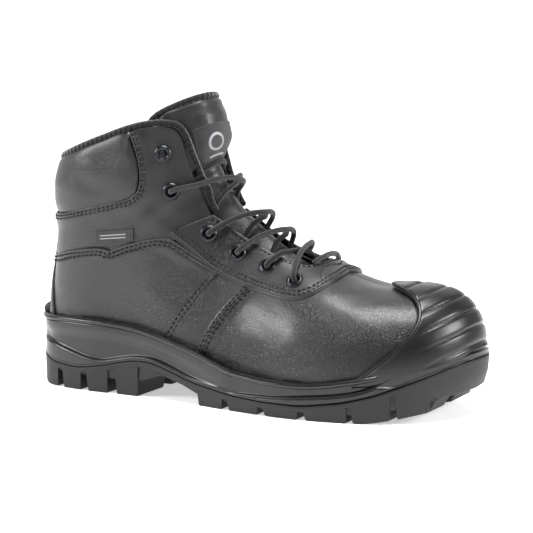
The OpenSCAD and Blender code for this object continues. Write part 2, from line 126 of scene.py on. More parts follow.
def feather(x):
    """Height of the line where the upper meets the sole."""
    return 18 + 25 * (1 - step(-125, 35, x)) + 6 * step(50, 155, x)


def back(z):
    """Where the back seam stands at height z."""
    return -147.5 + 6 * step(40, 105, z) + 4 * step(115, 165, z)


def width(x, z, outer):
    """Half width of the leg and heel part: it swells up to the ankle and out over the waist."""
    return np.where(outer, 35, 32.6) + np.where(outer, 3, 5.4) * step(40, 110, z) \
        + np.where(outer, 6, 1) * step(-90, -20, x) * (1 - step(40, 90, z))


def last(s, p):
    """A point of the last: each station is an arch from the outline over the ridge; above the
    ankle the arches lean back until they are rings round the leg."""
    s, p = np.broadcast_arrays(np.asarray(s, float), np.asarray(p, float))
    p = np.where(p < -1, p + 2, np.where(p > 1, p - 2, p))
    row = spline(stations, s)
    top_x, top_z, mid, power, swell, radius = (row[..., k] for k in range(6))
    outer, side, t, lean = p <= 0, np.where(p <= 0, -1., 1.), 1 - np.abs(p), step(4.2, 9, s)
    u = np.where(s < 9, spline(on_outline, np.minimum(s, 9)), 11.)
    foot = plan_in(np.where(outer, u, (22 - u) % 22), np.full(u.shape, welt))
    seam = spline(on_back, np.clip(s - 9, 0, 4))
    low_x = np.where(s < 9, foot[..., 0], back(seam))
    low_y = np.where(s < 9, foot[..., 1], mid)
    low_z = np.where(s < 9, feather(low_x), seam)
    across = np.clip(np.cos(np.pi / 2 * t), 0, None) ** (2 / power)
    up = np.clip(np.sin(np.pi / 2 * t), 0, None) ** (2 / power)
    ring = (1 - np.cos(np.pi * t)) / 2
    x = low_x + (top_x - low_x) * ((1 - lean) * (1 - across) + lean * ring)
    z = low_z + (top_z - low_z) * ((1 - lean) * up + lean * ring)
    arch = side * (low_y - mid) * across + swell * np.sin(np.pi * t)
    tube = width(x, z, outer) * dome(np.hypot(x - top_x, z - top_z), radius, 2) * dome(x - back(z), 42, 2.3)
    m = step(3.5, 6.8, s)
    return np.stack([x, mid + side * ((1 - m) * arch + m * tube), z], -1)


def outward(s, p):
    """Unit normal of the last, from the cross product of its two directions."""
    s, p = np.broadcast_arrays(np.asarray(s, float), np.asarray(p, float))
    p = np.where(p < -1, p + 2, np.where(p > 1, p - 2, p))
    c = np.maximum(.06, s)
    lo = np.where(c < 9, np.maximum(-1, p - .01), p - .01)
    hi = np.where(c < 9, np.minimum(1, p + .01), p + .01)
    n = np.cross(last(c, hi) - last(c, lo), last(np.minimum(13, c + .03), p) - last(np.maximum(0, c - .03), p))
    n = np.where((s < .001)[..., None], n * np.array([1, 0, 1]), n)
    return n / np.maximum(1e-9, np.linalg.norm(n, axis=-1, keepdims=True))


def at(g, depth):
    """Places of a net of (s, p) pairs, lifted off the last by depth."""
    return last(g[..., 0], g[..., 1]) + np.asarray(depth, float)[..., None] * outward(g[..., 0], g[..., 1])


def bunched(n, k=.85):
    """n + 1 places from 0 to 1, closer together at both ends."""
    x = np.linspace(0, 1, n + 1)
    return x - k * np.sin(2 * np.pi * x) / (2 * np.pi)


def between(a, b, n, m, ka=.85, kb=.85):
    """A net of (s, p) places between two seam lines."""
    v, w = bunched(n, ka), bunched(m, kb)[None, :, None]
    la, lb = spline(a, v * (len(a) - 1))[:, None], spline(b, v * (len(b) - 1))[:, None]
    return la * (1 - w) + lb * w


def mirror(line):
    """The same seam on the other side."""
    return [[s, -p] for s, p in line]


def borders(g):
    """Distance in mm of every point of a net from its first row, last row, first and last column."""
    di = np.vstack([np.zeros((1, g.shape[1])), np.cumsum(np.linalg.norm(np.diff(g, axis=0), axis=-1), 0)])
    dj = np.hstack([np.zeros((g.shape[0], 1)), np.cumsum(np.linalg.norm(np.diff(g, axis=1), axis=-1), 1)])
    return di, di[-1:] - di, dj, dj[:, -1:] - dj


def rolled(dist, r):
    """How far a cut edge of radius r has turned down at this distance from the border."""
    q = np.clip(1 - dist / r, 0, 1)
    return r * (1 - np.sqrt(1 - q * q))


def mesh(name, points, faces, material, body="boot", uv=None, smooth=True):
    """Points in mm and faces into an object that rides on one body, with one material."""
    me = bpy.data.meshes.new(name)
    faces = [tuple(map(int, f)) for f in faces]
    me.from_pydata((np.asarray(points) / 1000).tolist(), [], faces)
    if uv is not None:
        layer = me.uv_layers.new(name="UVMap")
        corners = np.concatenate([np.array(f) for f in faces])
        layer.data.foreach_set("uv", np.asarray(uv, float)[corners].ravel())
    me.materials.append(material)
    me.polygons.foreach_set("use_smooth", [smooth] * len(me.polygons))
    me.update()
    o = bpy.data.objects.new(name, me)
    bpy.context.scene.collection.objects.link(o)
    if body:
        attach(o, body)
    return o


def net_faces(n, m, closed_i=False, closed_j=False):
    """Quads of a net of n by m points."""
    i = np.arange(n if closed_i else n - 1)[:, None]
    j = np.arange(m if closed_j else m - 1)[None, :]
    a, b = i * m + j, ((i + 1) % n) * m + j
    c, d = ((i + 1) % n) * m + (j + 1) % m, i * m + (j + 1) % m
    return np.stack([a, b, c, d], -1).reshape(-1, 4)


# where the eyelets are set, outer side; the inner side mirrors them
eyelet_places = [[11.06, -.311], [9.36, -.295], [6.73, -.317], [5.87, -.35], [5.14, -.362], [4.44, -.382]]


def near_eyelet(points, reach=4.2):
    """True where a point lies within reach of the axis of an eyelet."""
    found = np.zeros(points.shape[:-1], bool)
    for s, p in eyelet_places + [[s, -p] for s, p in eyelet_places]:
        off, n = points - last(s, p), outward(s, p)
        deep = off @ n
        found |= (np.linalg.norm(off - deep[..., None] * n, axis=-1) < reach) & (np.abs(deep) < 9)
    return found


def sheet(name, outer, inner, material, body="boot", welded=False, pierced=False):
    """A closed sheet: an outer and an inner net joined round the border. Welded: the first row is
    the toe line, folded on itself. Pierced: it has holes where the eyelets go through. UV is the
    distance along the net in metres."""
    n, m = outer.shape[:2]
    count = n * m
    ids = np.arange(count).reshape(n, m)
    if welded:
        ids[0] = np.minimum(np.arange(m), m - 1 - np.arange(m))
    quads = np.stack([ids[:-1, :-1], ids[1:, :-1], ids[1:, 1:], ids[:-1, 1:]], -1).reshape(-1, 4)
    c = (n // 2, m // 2)
    cross = np.cross(outer[c[0] + 1, c[1]] - outer[c], outer[c[0], c[1] + 1] - outer[c])
    loop = list(ids[:, 0]) + list(ids[-1, 1:]) + list(ids[1:-1, -1][::-1]) + ([] if welded else list(ids[0, 1:][::-1]))
    wall = np.array([[a, count + a, count + b, b] for a, b in zip(loop, loop[1:] + loop[:1])])
    if np.dot(cross, outer[c] - inner[c]) < 0:
        quads = quads[:, ::-1]
    else:
        wall = wall[:, ::-1]
    if pierced:
        gone = near_eyelet(outer.reshape(-1, 3)[quads].mean(1))
        sides = {(q[k], q[(k + 1) % 4]) for q in quads[gone].tolist() for k in range(4)}
        quads = quads[~gone]
        wall = np.vstack([wall] + [[[a, b, b + count, a + count]] for a, b in sorted(sides) if (b, a) not in sides])
    everything = np.vstack([quads, np.where(quads >= 0, quads + count, 0)[:, ::-1], wall])
    faces = [list(dict.fromkeys(q)) for q in everything.tolist()]
    faces = [f for f in faces if len(f) > 2]
    di, _, dj, _ = borders(outer)
    uv = np.stack([di, dj], -1).reshape(-1, 2) / 1000
    return mesh(name, np.vstack([outer.reshape(-1, 3), inner.reshape(-1, 3)]), faces, material, body, np.vstack([uv, uv]))


def colour(code):
    """Hex colour to linear light."""
    v = [int(code[k:k + 2], 16) / 255 for k in (1, 3, 5)]
    return tuple(c / 12.92 if c <= .04045 else ((c + .055) / 1.055) ** 2.4 for c in v) + (1,)


def add(tree, kind, settings=None, links=None):
    """One node with its settings; a setting is a property or an input, links say what feeds what."""
    node = tree.nodes.new(kind)
    for key, value in (settings or {}).items():
        if isinstance(key, str) and hasattr(node, key):
            setattr(node, key, value)
        else:
            node.inputs[key].default_value = value
    for key, output in (links or {}).items():
        tree.links.new(output, node.inputs[key])
    return node


def finish(name, code, roughness, specular=.5, **more):
    """A material with its plain settings on the shader's own sockets."""
    m = bpy.data.materials.new(name)
    m.use_nodes = True
    shader = m.node_tree.nodes["Principled BSDF"]
    shader.inputs["Base Color"].default_value = colour(code)
    shader.inputs["Roughness"].default_value = roughness
    shader.inputs["Specular IOR Level"].default_value = specular
    for key, value in more.items():
        shader.inputs[key.replace("_", " ")].default_value = value
    return m, m.node_tree, shader


def mottle(tree, shader, vector, size, light, dark, low, high, detail=3):
    """Cloudy change of colour and roughness, with patches of the given size in metres."""
    cloud = add(tree, "ShaderNodeTexNoise", {"Scale": 1 / size, "Detail": detail}, {"Vector": vector})
    tone = add(tree, "ShaderNodeMix", {"data_type": "RGBA", 6: colour(dark), 7: colour(light)}, {0: cloud.outputs[0]})
    rough = add(tree, "ShaderNodeMapRange", {"To Min": low, "To Max": high}, {"Value": cloud.outputs[0]})
    tree.links.new(tone.outputs[2], shader.inputs["Base Color"])
    tree.links.new(rough.outputs[0], shader.inputs["Roughness"])
    return cloud


def relief(tree, shader, height, depth, strength=1.):
    """Bump of the given depth in metres from a 0 to 1 height."""
    bump = add(tree, "ShaderNodeBump", {"Strength": strength, "Distance": depth}, {"Height": height})
    tree.links.new(bump.outputs[0], shader.inputs["Normal"])
    return bump


# knitted spacer mesh: dark grey polyester, matt, with rows of small round holes 2.4 mm apart
lining_mesh, tree, shader = finish("knitted spacer mesh", "#26282b", .9, .2, Sheen_Weight=.3)
place = add(tree, "ShaderNodeTexCoord")
wide = add(tree, "ShaderNodeMapping", {"Scale": (420, 420, 420)}, {"Vector": place.outputs["UV"]})
hole = add(tree, "ShaderNodeTexVoronoi", {"Scale": 1., "Randomness": .12}, {"Vector": wide.outputs[0]})
hole_depth_and_shade = add(tree, "ShaderNodeMapRange", {"From Min": .1, "From Max": .34}, {"Value": hole.outputs["Distance"]})
# the holes are painted near black: painted shade inside the holes, laid over their real depth, which the bump gives
tone = add(tree, "ShaderNodeMix", {"data_type": "RGBA", 6: colour("#0c0c0d"), 7: colour("#2a2c2f")}, {0: hole_depth_and_shade.outputs[0]})
tree.links.new(tone.outputs[2], shader.inputs["Base Color"])
relief(tree, shader, hole_depth_and_shade.outputs[0], .0006)


def lining_depth(p):
    """Inside face of the upper: shallow behind the facings, deep behind the padding."""
    return -(2.7 + 2.9 * step(.34, .43, np.abs(np.where(np.abs(p) > 1, 2 - np.abs(p), p))))


lining_low = [[4.4, -.955], [5.5, -.955], [6.6, -.955], [7.8, -.955], [8.7, -.96], [9.4, -.985], [10.5, -.985],
              [11.5, -.985], [12.5, -.985]]
lining_high = [[4.4, -.265], [5.3, -.265], [6.2, -.255], [7.1, -.245], [8.3, -.225], [9.6, -.235], [10.7, -.25],
               [11.6, -.275], [12.2, -.36]]
for side, turn in (("lateral", list), ("medial", mirror)):
    g = between(turn(lining_low), turn(lining_high), 110, 70, 0, .6)
    back_half = step(.93, .995, np.abs(g[..., 1]))
    g[..., 1] *= 1 + .016 * back_half
    d = lining_depth(g[..., 1])
    soft = .35 * np.sin(g[..., 0] * 5.1 + 9 * g[..., 1]) * step(.5, .8, np.abs(g[..., 1]))
    piece = sheet("lining_" + side, at(g, d), at(g, d - .9 + soft), lining_mesh, pierced=True)
    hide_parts("quarter_lining_" + side)

v, w = np.linspace(0, 3.9, 30)[:, None], np.linspace(-.93, .93, 61)[None]
g = np.stack(np.broadcast_arrays(v, w), -1)
piece = sheet("lining_vamp", at(g, np.full(g.shape[:2], -5.1)), at(g, np.full(g.shape[:2], -6.)), lining_mesh, welded=True)
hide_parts("vamp_lining")

# ---------------------------------------------------------------- stiffeners
# Sealed between leather and lining: a pressed steel cap over the toes, a moulded counter round the
# heel, the board the upper is lasted to, and the woven puncture plate under it.


def leave_as_cut(node, material):
    """A sealed CAD piece keeps its shape and gets its own finish."""
    slots = frame["nodes"][node].data.materials
    slots.clear()
    slots.append(material)


# pressed and phosphated steel: dark grey, faintly speckled
steel, tree, shader = finish("phosphated pressed steel", "#6d7176", .42, Metallic=1)
place = add(tree, "ShaderNodeTexCoord")
mottle(tree, shader, place.outputs["Object"], .002, "#7b8086", "#565a5f", .36, .5)
# fibre board: brown, with short fibres showing
board, tree, shader = finish("fibre board", "#8f7a58", .85)
place = add(tree, "ShaderNodeTexCoord")
cloud = mottle(tree, shader, place.outputs["Object"], .0012, "#a18b66", "#75623f", .8, .92, 6)
relief(tree, shader, cloud.outputs[0], .0002)
# woven aramid: straw yellow cloth, plain weave 1.6 mm
aramid, tree, shader = finish("woven aramid plate", "#cfc59a", .7)
place = add(tree, "ShaderNodeTexCoord")
weave = add(tree, "ShaderNodeTexChecker", {"Scale": 625.}, {"Vector": place.outputs["Object"]})
tone = add(tree, "ShaderNodeMix", {"data_type": "RGBA", 6: colour("#b3a873"), 7: colour("#ddd4ac")}, {0: weave.outputs["Fac"]})
tree.links.new(tone.outputs[2], shader.inputs["Base Color"])
# moulded thermoplastic counter: off white, grainy from its heat-set felt
counter, tree, shader = finish("moulded counter felt", "#bdb6a4", .8)
place = add(tree, "ShaderNodeTexCoord")
cloud = mottle(tree, shader, place.outputs["Object"], .0009, "#cac3b2", "#a39c89", .75, .9, 5)
relief(tree, shader, cloud.outputs[0], .0002)
for node, material in (("steel_toe_cap", steel), ("insole_board", board), ("puncture_plate", aramid),
                       ("heel_counter", counter)):
    leave_as_cut(node, material)

# ---------------------------------------------------------------- vamp
# One piece of full grain leather over the toes and instep, 2 mm thick, pulled down over the last
# and glued under the board. Its back edge is skived and laid over the side straps, with three rows
# of stitching.

# full grain bovine leather, drum dyed black with a semi-matte pigmented finish: a soft broad
# highlight broken by fine grain, cells about 1.1 mm, with finer pores between them
leather, tree, shader = finish("black full grain leather", "#0e0e0f", .42, .5, Coat_Weight=.2, Coat_Roughness=.24)
place = add(tree, "ShaderNodeTexCoord")
patch = mottle(tree, shader, place.outputs["Object"], .022, "#101011", "#0a0a0b", .29, .43, 5)
grain = add(tree, "ShaderNodeTexVoronoi", {"feature": "DISTANCE_TO_EDGE", "Scale": 900.}, {"Vector": place.outputs["Object"]})
pores = add(tree, "ShaderNodeTexNoise", {"Scale": 1500., "Detail": 4}, {"Vector": place.outputs["Object"]})
crease = add(tree, "ShaderNodeMapRange", {"From Max": .16}, {"Value": grain.outputs["Distance"]})
height = add(tree, "ShaderNodeMath", {"operation": "MULTIPLY_ADD", 1: .55}, {0: pores.outputs[0], 2: crease.outputs[0]})
relief(tree, shader, height.outputs[0], .00011, .75)

# bonded nylon sewing thread, black, waxed: rounder and a little glossier than the leather
thread, tree, shader = finish("waxed nylon thread", "#080809", .55, .4)
place = add(tree, "ShaderNodeTexCoord")
twist = add(tree, "ShaderNodeTexNoise", {"Scale": 2500.}, {"Vector": place.outputs["Object"]})
relief(tree, shader, twist.outputs[0], .0002)


def even(line, pitch, depth=0.):
    """Places along a seam line of (s, p) points at an even pitch in mm."""
    fine = spline(line, np.linspace(0, len(line) - 1, 500))
    way = at(fine, np.full(500, float(depth)))
    run = np.concatenate([[0], np.cumsum(np.linalg.norm(np.diff(way, axis=0), axis=1))])
    n = max(2, int(run[-1] / pitch))
    t = np.interp(np.linspace(0, run[-1], n + 1), run, np.arange(500))
    return np.stack([np.interp(t, np.arange(500), fine[:, k]) for k in (0, 1)], -1)


def beside(line, away, pitch=2.):
    """A line moved sideways over the last by away mm: small steps in s and p until each place
    stands at its distance, the steps found from how s and p turn into mm there."""
    g = even(line, pitch)
    here, e = last(g[:, 0], g[:, 1]), 1e-3
    side = np.cross(outward(g[:, 0], g[:, 1]), np.gradient(here, axis=0))
    goal = here + side * (away / np.linalg.norm(side, axis=1, keepdims=True))
    for _ in range(14):
        rest = goal - last(g[:, 0], g[:, 1])
        ds = (last(g[:, 0] + e, g[:, 1]) - last(g[:, 0] - e, g[:, 1])) / (2 * e)
        dp = (last(g[:, 0], g[:, 1] + e) - last(g[:, 0], g[:, 1] - e)) / (2 * e)
        a, b, c = (ds * ds).sum(1), (ds * dp).sum(1), (dp * dp).sum(1)
        u, v = (rest * ds).sum(1), (rest * dp).sum(1)
        det = np.maximum(a * c - b * b, 1e-6)
        move = np.stack([(u * c - v * b) / det, (v * a - u * b) / det], -1)
        g = g + np.clip(move, [-.12, -.02], [.12, .02])
    return g


def seam(line, away, depth=0.):
    """A sewing line beside a seam, as a path in mm at the given depth."""
    g = beside(line, away)
    return at(g, np.full(len(g), float(depth)))


def pressed(points, lines, reach=.9, deep=.35):
    """How far the stitching pulls the leather down: a smooth groove round each sewing line."""
    flat, best = points.reshape(-1, 3), np.full(points.shape[0] * points.shape[1], 1e9)
    for line in lines:
        for k in range(0, len(line), 40):
            best = np.minimum(best, np.linalg.norm(flat[:, None] - line[None, k:k + 40], axis=-1).min(1))
    return deep * np.exp(-(best.reshape(points.shape[:-1]) / reach) ** 2)


def stitches(name, rows, body="boot", pitch=3.3, thick=.42):
    """Rows of lockstitch: each is a short thread that dips into a hole at both ends. A row is a
    seam line of (s, p), how far beside it, and the depth of the surface it lies on."""
    points, faces, count = [], [], 0
    five = np.array([0, .22, .5, .78, 1.])
    sink = np.array([-.75, .12, .3, .12, -.75])
    fat = np.array([.35, 1, 1.05, 1, .35]) * thick
    turn = np.linspace(0, 2 * np.pi, 6, endpoint=False)
    quads = np.vstack([net_faces(5, 6, closed_j=True)])
    for line, away, depth in rows:
        g = even(beside(line, away), pitch)
        a, b = g[:-1], g[1:]
        t = .1 + .8 * five[None, :, None]
        mid = a[:, None] * (1 - t) + b[:, None] * t
        lift = (np.interp(np.linspace(0, 1, len(a)), np.linspace(0, 1, len(np.atleast_1d(depth))), np.atleast_1d(depth)))
        centre = at(mid, lift[:, None] + sink[None])
        n = outward(mid[..., 0], mid[..., 1])
        run = np.gradient(centre, axis=1)
        across = np.cross(n, run)
        across /= np.maximum(1e-9, np.linalg.norm(across, axis=-1, keepdims=True))
        ring = centre[:, :, None] + fat[None, :, None, None] * (np.cos(turn)[:, None] * across[:, :, None] + np.sin(turn)[:, None] * n[:, :, None])
        points.append(ring.reshape(-1, 3))
        for k in range(len(a)):
            faces.append(quads + count + 30 * k)
        count += 30 * len(a)
    return mesh(name, np.vstack(points), np.vstack(faces)[:, ::-1], thread, body)


def hide(name, g, top, under, lines=(), roll=(1, 1, 1, 1), radius=1.1, swell=None, welded=False, body="boot", material=None, deep=.35, pierced=False):
    """A piece of leather on the last: a net of (s, p), its upper and lower depths, the borders that
    are rolled over (first and last row, first and last column) and the sewing lines pressed in."""
    flat = at(g, np.zeros(g.shape[:2]))
    edge = borders(flat)
    d = np.zeros(g.shape[:2]) + top
    for wanted, dist in zip(roll, edge):
        if wanted:
            d = d - rolled(dist, radius)
    # the leather is never quite flat: low waves some 25 mm long
    x, y, z = (flat[..., k] for k in range(3))
    d = d + .16 * np.sin(x / 5.3 + 1.7 * np.sin(z / 9)) * np.sin(z / 6.1 + y / 7)
    if swell is not None:
        d = d + swell
    if len(lines):
        d = d - pressed(flat, lines, deep=deep)
    return sheet(name, at(g, d), at(g, np.minimum(d - .3, np.zeros(g.shape[:2]) + under)), material or leather, body, welded, pierced)


strap_front = [[5.43, -.50], [5.5, -.545], [5.64, -.63], [5.78, -.735], [5.86, -.83], [5.95, -.985]]
strap_rear = [[5.99, -.47], [6.1, -.52], [6.17, -.59], [6.27, -.69], [6.36, -.80], [6.48, -.985]]


def vamp_back(q):
    """How far back the vamp reaches at this distance from the ridge."""
    under_throat = 3.85 + 1.55 * step(.34, .5, q)
    line = np.array(strap_front)
    return np.where(q < .5, under_throat, np.interp(q, -line[:, 1], line[:, 0]))


row, q = bunched(120, .6)[:, None], np.linspace(-.99, .99, 220)[None]
g = np.stack(np.broadcast_arrays(vamp_back(np.abs(q)) * row, q), -1)
behind = borders(at(g, np.zeros(g.shape[:2])))[1]
on_side = step(.47, .53, np.abs(g[..., 1]))
lines = [seam(turn(strap_front), k * flip_side) for turn, flip_side in ((list, 1), (mirror, -1)) for k in (1.7, 3.7, 5.7)]
piece = hide("vamp_leather", g, 1.1 * (1 - step(2, 13, behind)) * on_side, -2, lines, (0, 1, 0, 0), .9, welded=True)
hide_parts("vamp")
piece = stitches("vamp_thread", [(turn(strap_front), k * flip_side, .95) for turn, flip_side in ((list, 1), (mirror, -1))
                                 for k in (1.7, 3.7, 5.7)])

# ---------------------------------------------------------------- quarters and side straps
# Leather sides of the foot from the strap back to the heel seam, and the narrow strap between
# quarter and vamp. The quarter meets the strap in a flat double seam; its top edge is laid over
# the ankle panel with two rows of stitching.
quarter_low = [[6.42, -.99], [7.6, -.99], [8.6, -.99], [9.3, -.985], [9.9, -.985], [10.2, -.985], [10.35, -1.0]]
quarter_top = [[6.0, -.46], [6.75, -.425], [7.5, -.405], [8.3, -.46], [9.25, -.545], [9.85, -.68], [10.15, -.82], [10.42, -1.0]]
for side, turn, flip_side in (("lateral", list, 1), ("medial", mirror, -1)):
    g = between(turn(quarter_low), turn(quarter_top), 130, 110)
    edge = borders(at(g, np.zeros(g.shape[:2])))
    lines = [seam(turn(quarter_top), k * flip_side) for k in (2.2, 4.6)] + [seam(turn(strap_rear), -1.3 * flip_side)]
    piece = hide("quarter_leather_" + side, g, 1.0 * (1 - step(3, 14, edge[3])), -2, lines, (1, 0, 0, 1), .9)
    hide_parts("quarter_" + side)
    stitches("quarter_thread_" + side, [(turn(quarter_top)[1:], k * flip_side, .95) for k in (2.2, 4.6)]
             + [(turn(strap_rear), -1.3 * flip_side, 0.)])

    g = between(turn([[s - .25, p] for s, p in strap_front]), turn(strap_rear), 110, 26)
    edge = borders(at(g, np.zeros(g.shape[:2])))
    lines = [seam(turn(strap_rear), 1.3 * flip_side)]
    piece = hide("side_strap_leather_" + side, g, -.1, -2, lines, (0, 0, 0, 1), .8)
    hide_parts("side_strap_" + side)
    stitches("side_strap_thread_" + side, [(turn(strap_rear), 1.3 * flip_side, -.1)])

# ---------------------------------------------------------------- ankle panels
# Leather from the facing round the ankle to the back seam, carrying the two top eyelets. It is
# laid over the edge of the padded collar with two rows of stitching.
panel_low = [[10.1, -.985], [9.65, -.74], [9.05, -.57], [8.1, -.475], [7.35, -.41], [7.0, -.25], [8.3, -.20], [10.3, -.225],
             [11.5, -.24], [12.1, -.29], [12.45, -.385]]
panel_top = [[11.5, -.985], [10.95, -.69], [10.5, -.54], [10.22, -.468], [10.15, -.45], [10.16, -.425], [10.25, -.412], [10.75, -.402],
             [11.5, -.407], [12.0, -.417], [12.45, -.427]]
for side, turn, flip_side in (("lateral", list, 1), ("medial", mirror, -1)):
    g = between(turn(panel_low), turn(panel_top), 230, 46, .3, .7)
    edge = borders(at(g, np.zeros(g.shape[:2])))
    seam_rows = (1.6, 3.6)
    lines = [seam(turn(panel_top), -k * flip_side) for k in seam_rows]
    over_cuff = 1.0 * (1 - step(3, 12, edge[3]))
    along = np.linspace(0, 1, g.shape[0])[:, None]
    under_quarter = -1.2 * (1 - step(6, 13, edge[2])) * (1 - step(.34, .4, along))
    piece = hide("ankle_panel_leather_" + side, g, over_cuff + under_quarter, -2, lines, (0, 0, 0, 1), .9, pierced=True)
    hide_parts("ankle_panel_" + side)
    stitches("ankle_panel_thread_" + side, [(turn(panel_top), -k * flip_side, .95) for k in seam_rows])

# ---------------------------------------------------------------- eyestay
# A U of leather round the throat that carries the eight lower eyelets: edges folded and sewn,
# two rows along the outer edge, one along the facing and a bow of stitching at the front.
stay_outer = [[7.55, -.375], [6.8, -.415], [6.09, -.472], [5.47, -.50], [4.8, -.508], [4.4, -.495], [4.1, -.45], [3.79, -.33], [3.52, -.12]]
stay_inner = [[7.1, -.225], [6.6, -.225], [6.15, -.235], [5.7, -.245], [5.25, -.253], [4.87, -.25], [4.56, -.24], [4.3, -.19], [4.14, -.08]]
whole = lambda half: half + [[s, -p] for s, p in half[::-1]]
outer_line, inner_line = whole(stay_outer), whole(stay_inner)
g = between(outer_line, inner_line, 300, 44, 0, .8)
bow = [[3.93, -.29], [4.0, -.24], [4.03, -.17], [3.95, -.08], [3.82, .0], [3.95, .08], [4.03, .17], [4.0, .24], [3.93, .29]]
edge = borders(at(g, np.zeros(g.shape[:2])))
lines = [seam(outer_line, k, 1) for k in (1.9, 4.6)] + [seam(inner_line, -2.3, 1)]
stay_top = 2.0
piece = hide("eyestay_leather", g, stay_top, .45, lines, (1, 1, 1, 1), 1.3, pierced=True)
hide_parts("eyestay")
stitches("eyestay_thread", [(outer_line, 1.9, stay_top), (outer_line, 4.6, stay_top), (inner_line, -2.3, stay_top), (bow, 0, stay_top)], pitch=3.1)
# the turned-in lower layer shows as a second, thinner edge just outside the eyestay
g = between([[s, p * 1.014 + (-.004 if p < 0 else .004)] for s, p in outer_line],
            [[s, p * .97] for s, p in outer_line], 260, 10, 0, .4)
piece = hide("eyestay_underlay", g, .9, -.3, (), (1, 1, 1, 0), .7)

# ---------------------------------------------------------------- backstrap
# A narrow strip of leather over the back seam, wider at the foot, sewn down both sides.


def around(z, a, depth=0.):
    """The rear of the last by height and angle round the heel: a is -1 to 1 over the rounded back."""
    z, a = np.broadcast_arrays(np.asarray(z, float), np.asarray(a, float))

    def on_heel(z, a):
        q, side = np.abs(a), np.where(a < 0, -1., 1.)
        curve = 42 * (1 - np.clip(np.cos(np.pi / 2 * np.minimum(q, 1)), 0, None) ** (2 / 2.3))
        x = back(z) + np.where(q <= 1, curve, 42 + (q - 1) * 60)
        return np.stack([x, 3 + side * width(x, z, a < 0) * dome(x - back(z), 42, 2.3), z], -1)
    n = -np.cross(on_heel(z, a + .02) - on_heel(z, a - .02), on_heel(z + .5, a) - on_heel(z - .5, a))
    return on_heel(z, a) + np.asarray(depth, float)[..., None] * n / np.linalg.norm(n, axis=-1, keepdims=True)


rise = np.linspace(0, 1, 70)[:, None]
across = bunched(26, .8)[None] * 2 - 1
half = .52 - .30 * step(0, .55, rise) - .08 * step(.4, 1, rise)
height = 44 + 74 * rise + 0 * across
angle = across * half
edge = borders(around(height, angle))
d = 1.9 - rolled(edge[1], 1.2) - rolled(edge[2], 1.2) - rolled(edge[3], 1.2) - .3 * np.exp(-((edge[2] - 2.4) / .8) ** 2) - .3 * np.exp(-((edge[3] - 2.4) / .8) ** 2)
piece = sheet("backstrap_leather", around(height, angle, d), around(height, angle, np.full(d.shape, .3)), leather)
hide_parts("backstrap")

# ---------------------------------------------------------------- padded collar
# Soft leather filled with foam round the ankle, and a ribbed textile binding folded over the
# topline and down both facings. Softer than the body leather, with shallow creases.
soft_leather, tree, shader = finish("soft black leather", "#0d0d0e", .45, .5, Coat_Weight=.18, Coat_Roughness=.26)
place = add(tree, "ShaderNodeTexCoord")
patch = mottle(tree, shader, place.outputs["Object"], .018, "#0f0f10", "#09090a", .3, .44, 5)
grain = add(tree, "ShaderNodeTexVoronoi", {"feature": "DISTANCE_TO_EDGE", "Scale": 1000.}, {"Vector": place.outputs["Object"]})
pores = add(tree, "ShaderNodeTexNoise", {"Scale": 1500., "Detail": 4}, {"Vector": place.outputs["Object"]})
crease = add(tree, "ShaderNodeMapRange", {"From Max": .16}, {"Value": grain.outputs["Distance"]})
height_of_grain = add(tree, "ShaderNodeMath", {"operation": "MULTIPLY_ADD", 1: .55}, {0: pores.outputs[0], 2: crease.outputs[0]})
relief(tree, shader, height_of_grain.outputs[0], .0001, .75)

cuff_low = [[12.3, -.425], [11.3, -.405], [10.5, -.41], [10.1, -.435], [10.4, -.54], [10.95, -.71], [11.3, -.86], [11.45, -1], [11.3, -1.14],
            [10.95, -1.29], [10.4, -1.46], [10.1, -1.565], [10.5, -1.59], [11.3, -1.595], [12.3, -1.575]]
cuff_top = [[12.56, -.45], [12.6, -.48], [12.61, -.52], [12.63, -.57], [12.67, -.64], [12.72, -.74], [12.79, -.87], [12.81, -1], [12.79, -1.13],
            [12.72, -1.26], [12.67, -1.36], [12.63, -1.43], [12.61, -1.48], [12.6, -1.52], [12.56, -1.55]]
g = between(cuff_low, cuff_top, 260, 90, .4, .8)
flat = at(g, np.zeros(g.shape[:2]))
edge = np.minimum.reduce(borders(flat))
plump = 4.2 * dome(edge, 26, 2.2) - 1.5
x, y, z = (flat[..., k] for k in range(3))
folds = .5 * np.sin((z + .35 * x) / 4.2 + 1.3 * np.sin(x / 17)) * step(6, 16, edge) * (.35 + .65 * np.sin(x / 13 + y / 11) ** 2)
piece = sheet("collar_cuff_leather", at(g, plump + folds), at(g, np.full(g.shape[:2], -4.9)), soft_leather)
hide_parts("collar_cuff", "collar_foam")

# ribbed polyester tape, black and matt: ribs 1.3 mm apart lie slantwise across the tape
tape, tree, shader = finish("ribbed textile binding", "#141415", .82, .3, Sheen_Weight=.35, Sheen_Roughness=.4)
place = add(tree, "ShaderNodeTexCoord")
stretch = add(tree, "ShaderNodeMapping", {"Scale": (1, .0042, 1)}, {"Vector": place.outputs["UV"]})
ribs = add(tree, "ShaderNodeTexWave", {"bands_direction": "DIAGONAL", "Scale": 170., "Distortion": .6, "Detail Scale": 2.}, {"Vector": stretch.outputs[0]})
# the valleys between the ribs are painted darker: painted shade between the ribs
tone = add(tree, "ShaderNodeMix", {"data_type": "RGBA", 6: colour("#050505"), 7: colour("#121213")}, {0: ribs.outputs["Fac"]})
tree.links.new(tone.outputs[2], shader.inputs["Base Color"])
relief(tree, shader, ribs.outputs["Fac"], .0005)


def frames(path):
    """Tangent and two cross directions along a path, carried along without twist."""
    t = np.gradient(path, axis=0)
    t /= np.linalg.norm(t, axis=1, keepdims=True)
    u = np.zeros_like(t)
    g = np.array([0, 0, 1.]) if abs(t[0, 2]) < .9 else np.array([1., 0, 0])
    for k in range(len(t)):
        g = g - t[k] * (g @ t[k])
        g /= np.linalg.norm(g)
        u[k] = g
    return t, u, np.cross(t, u)


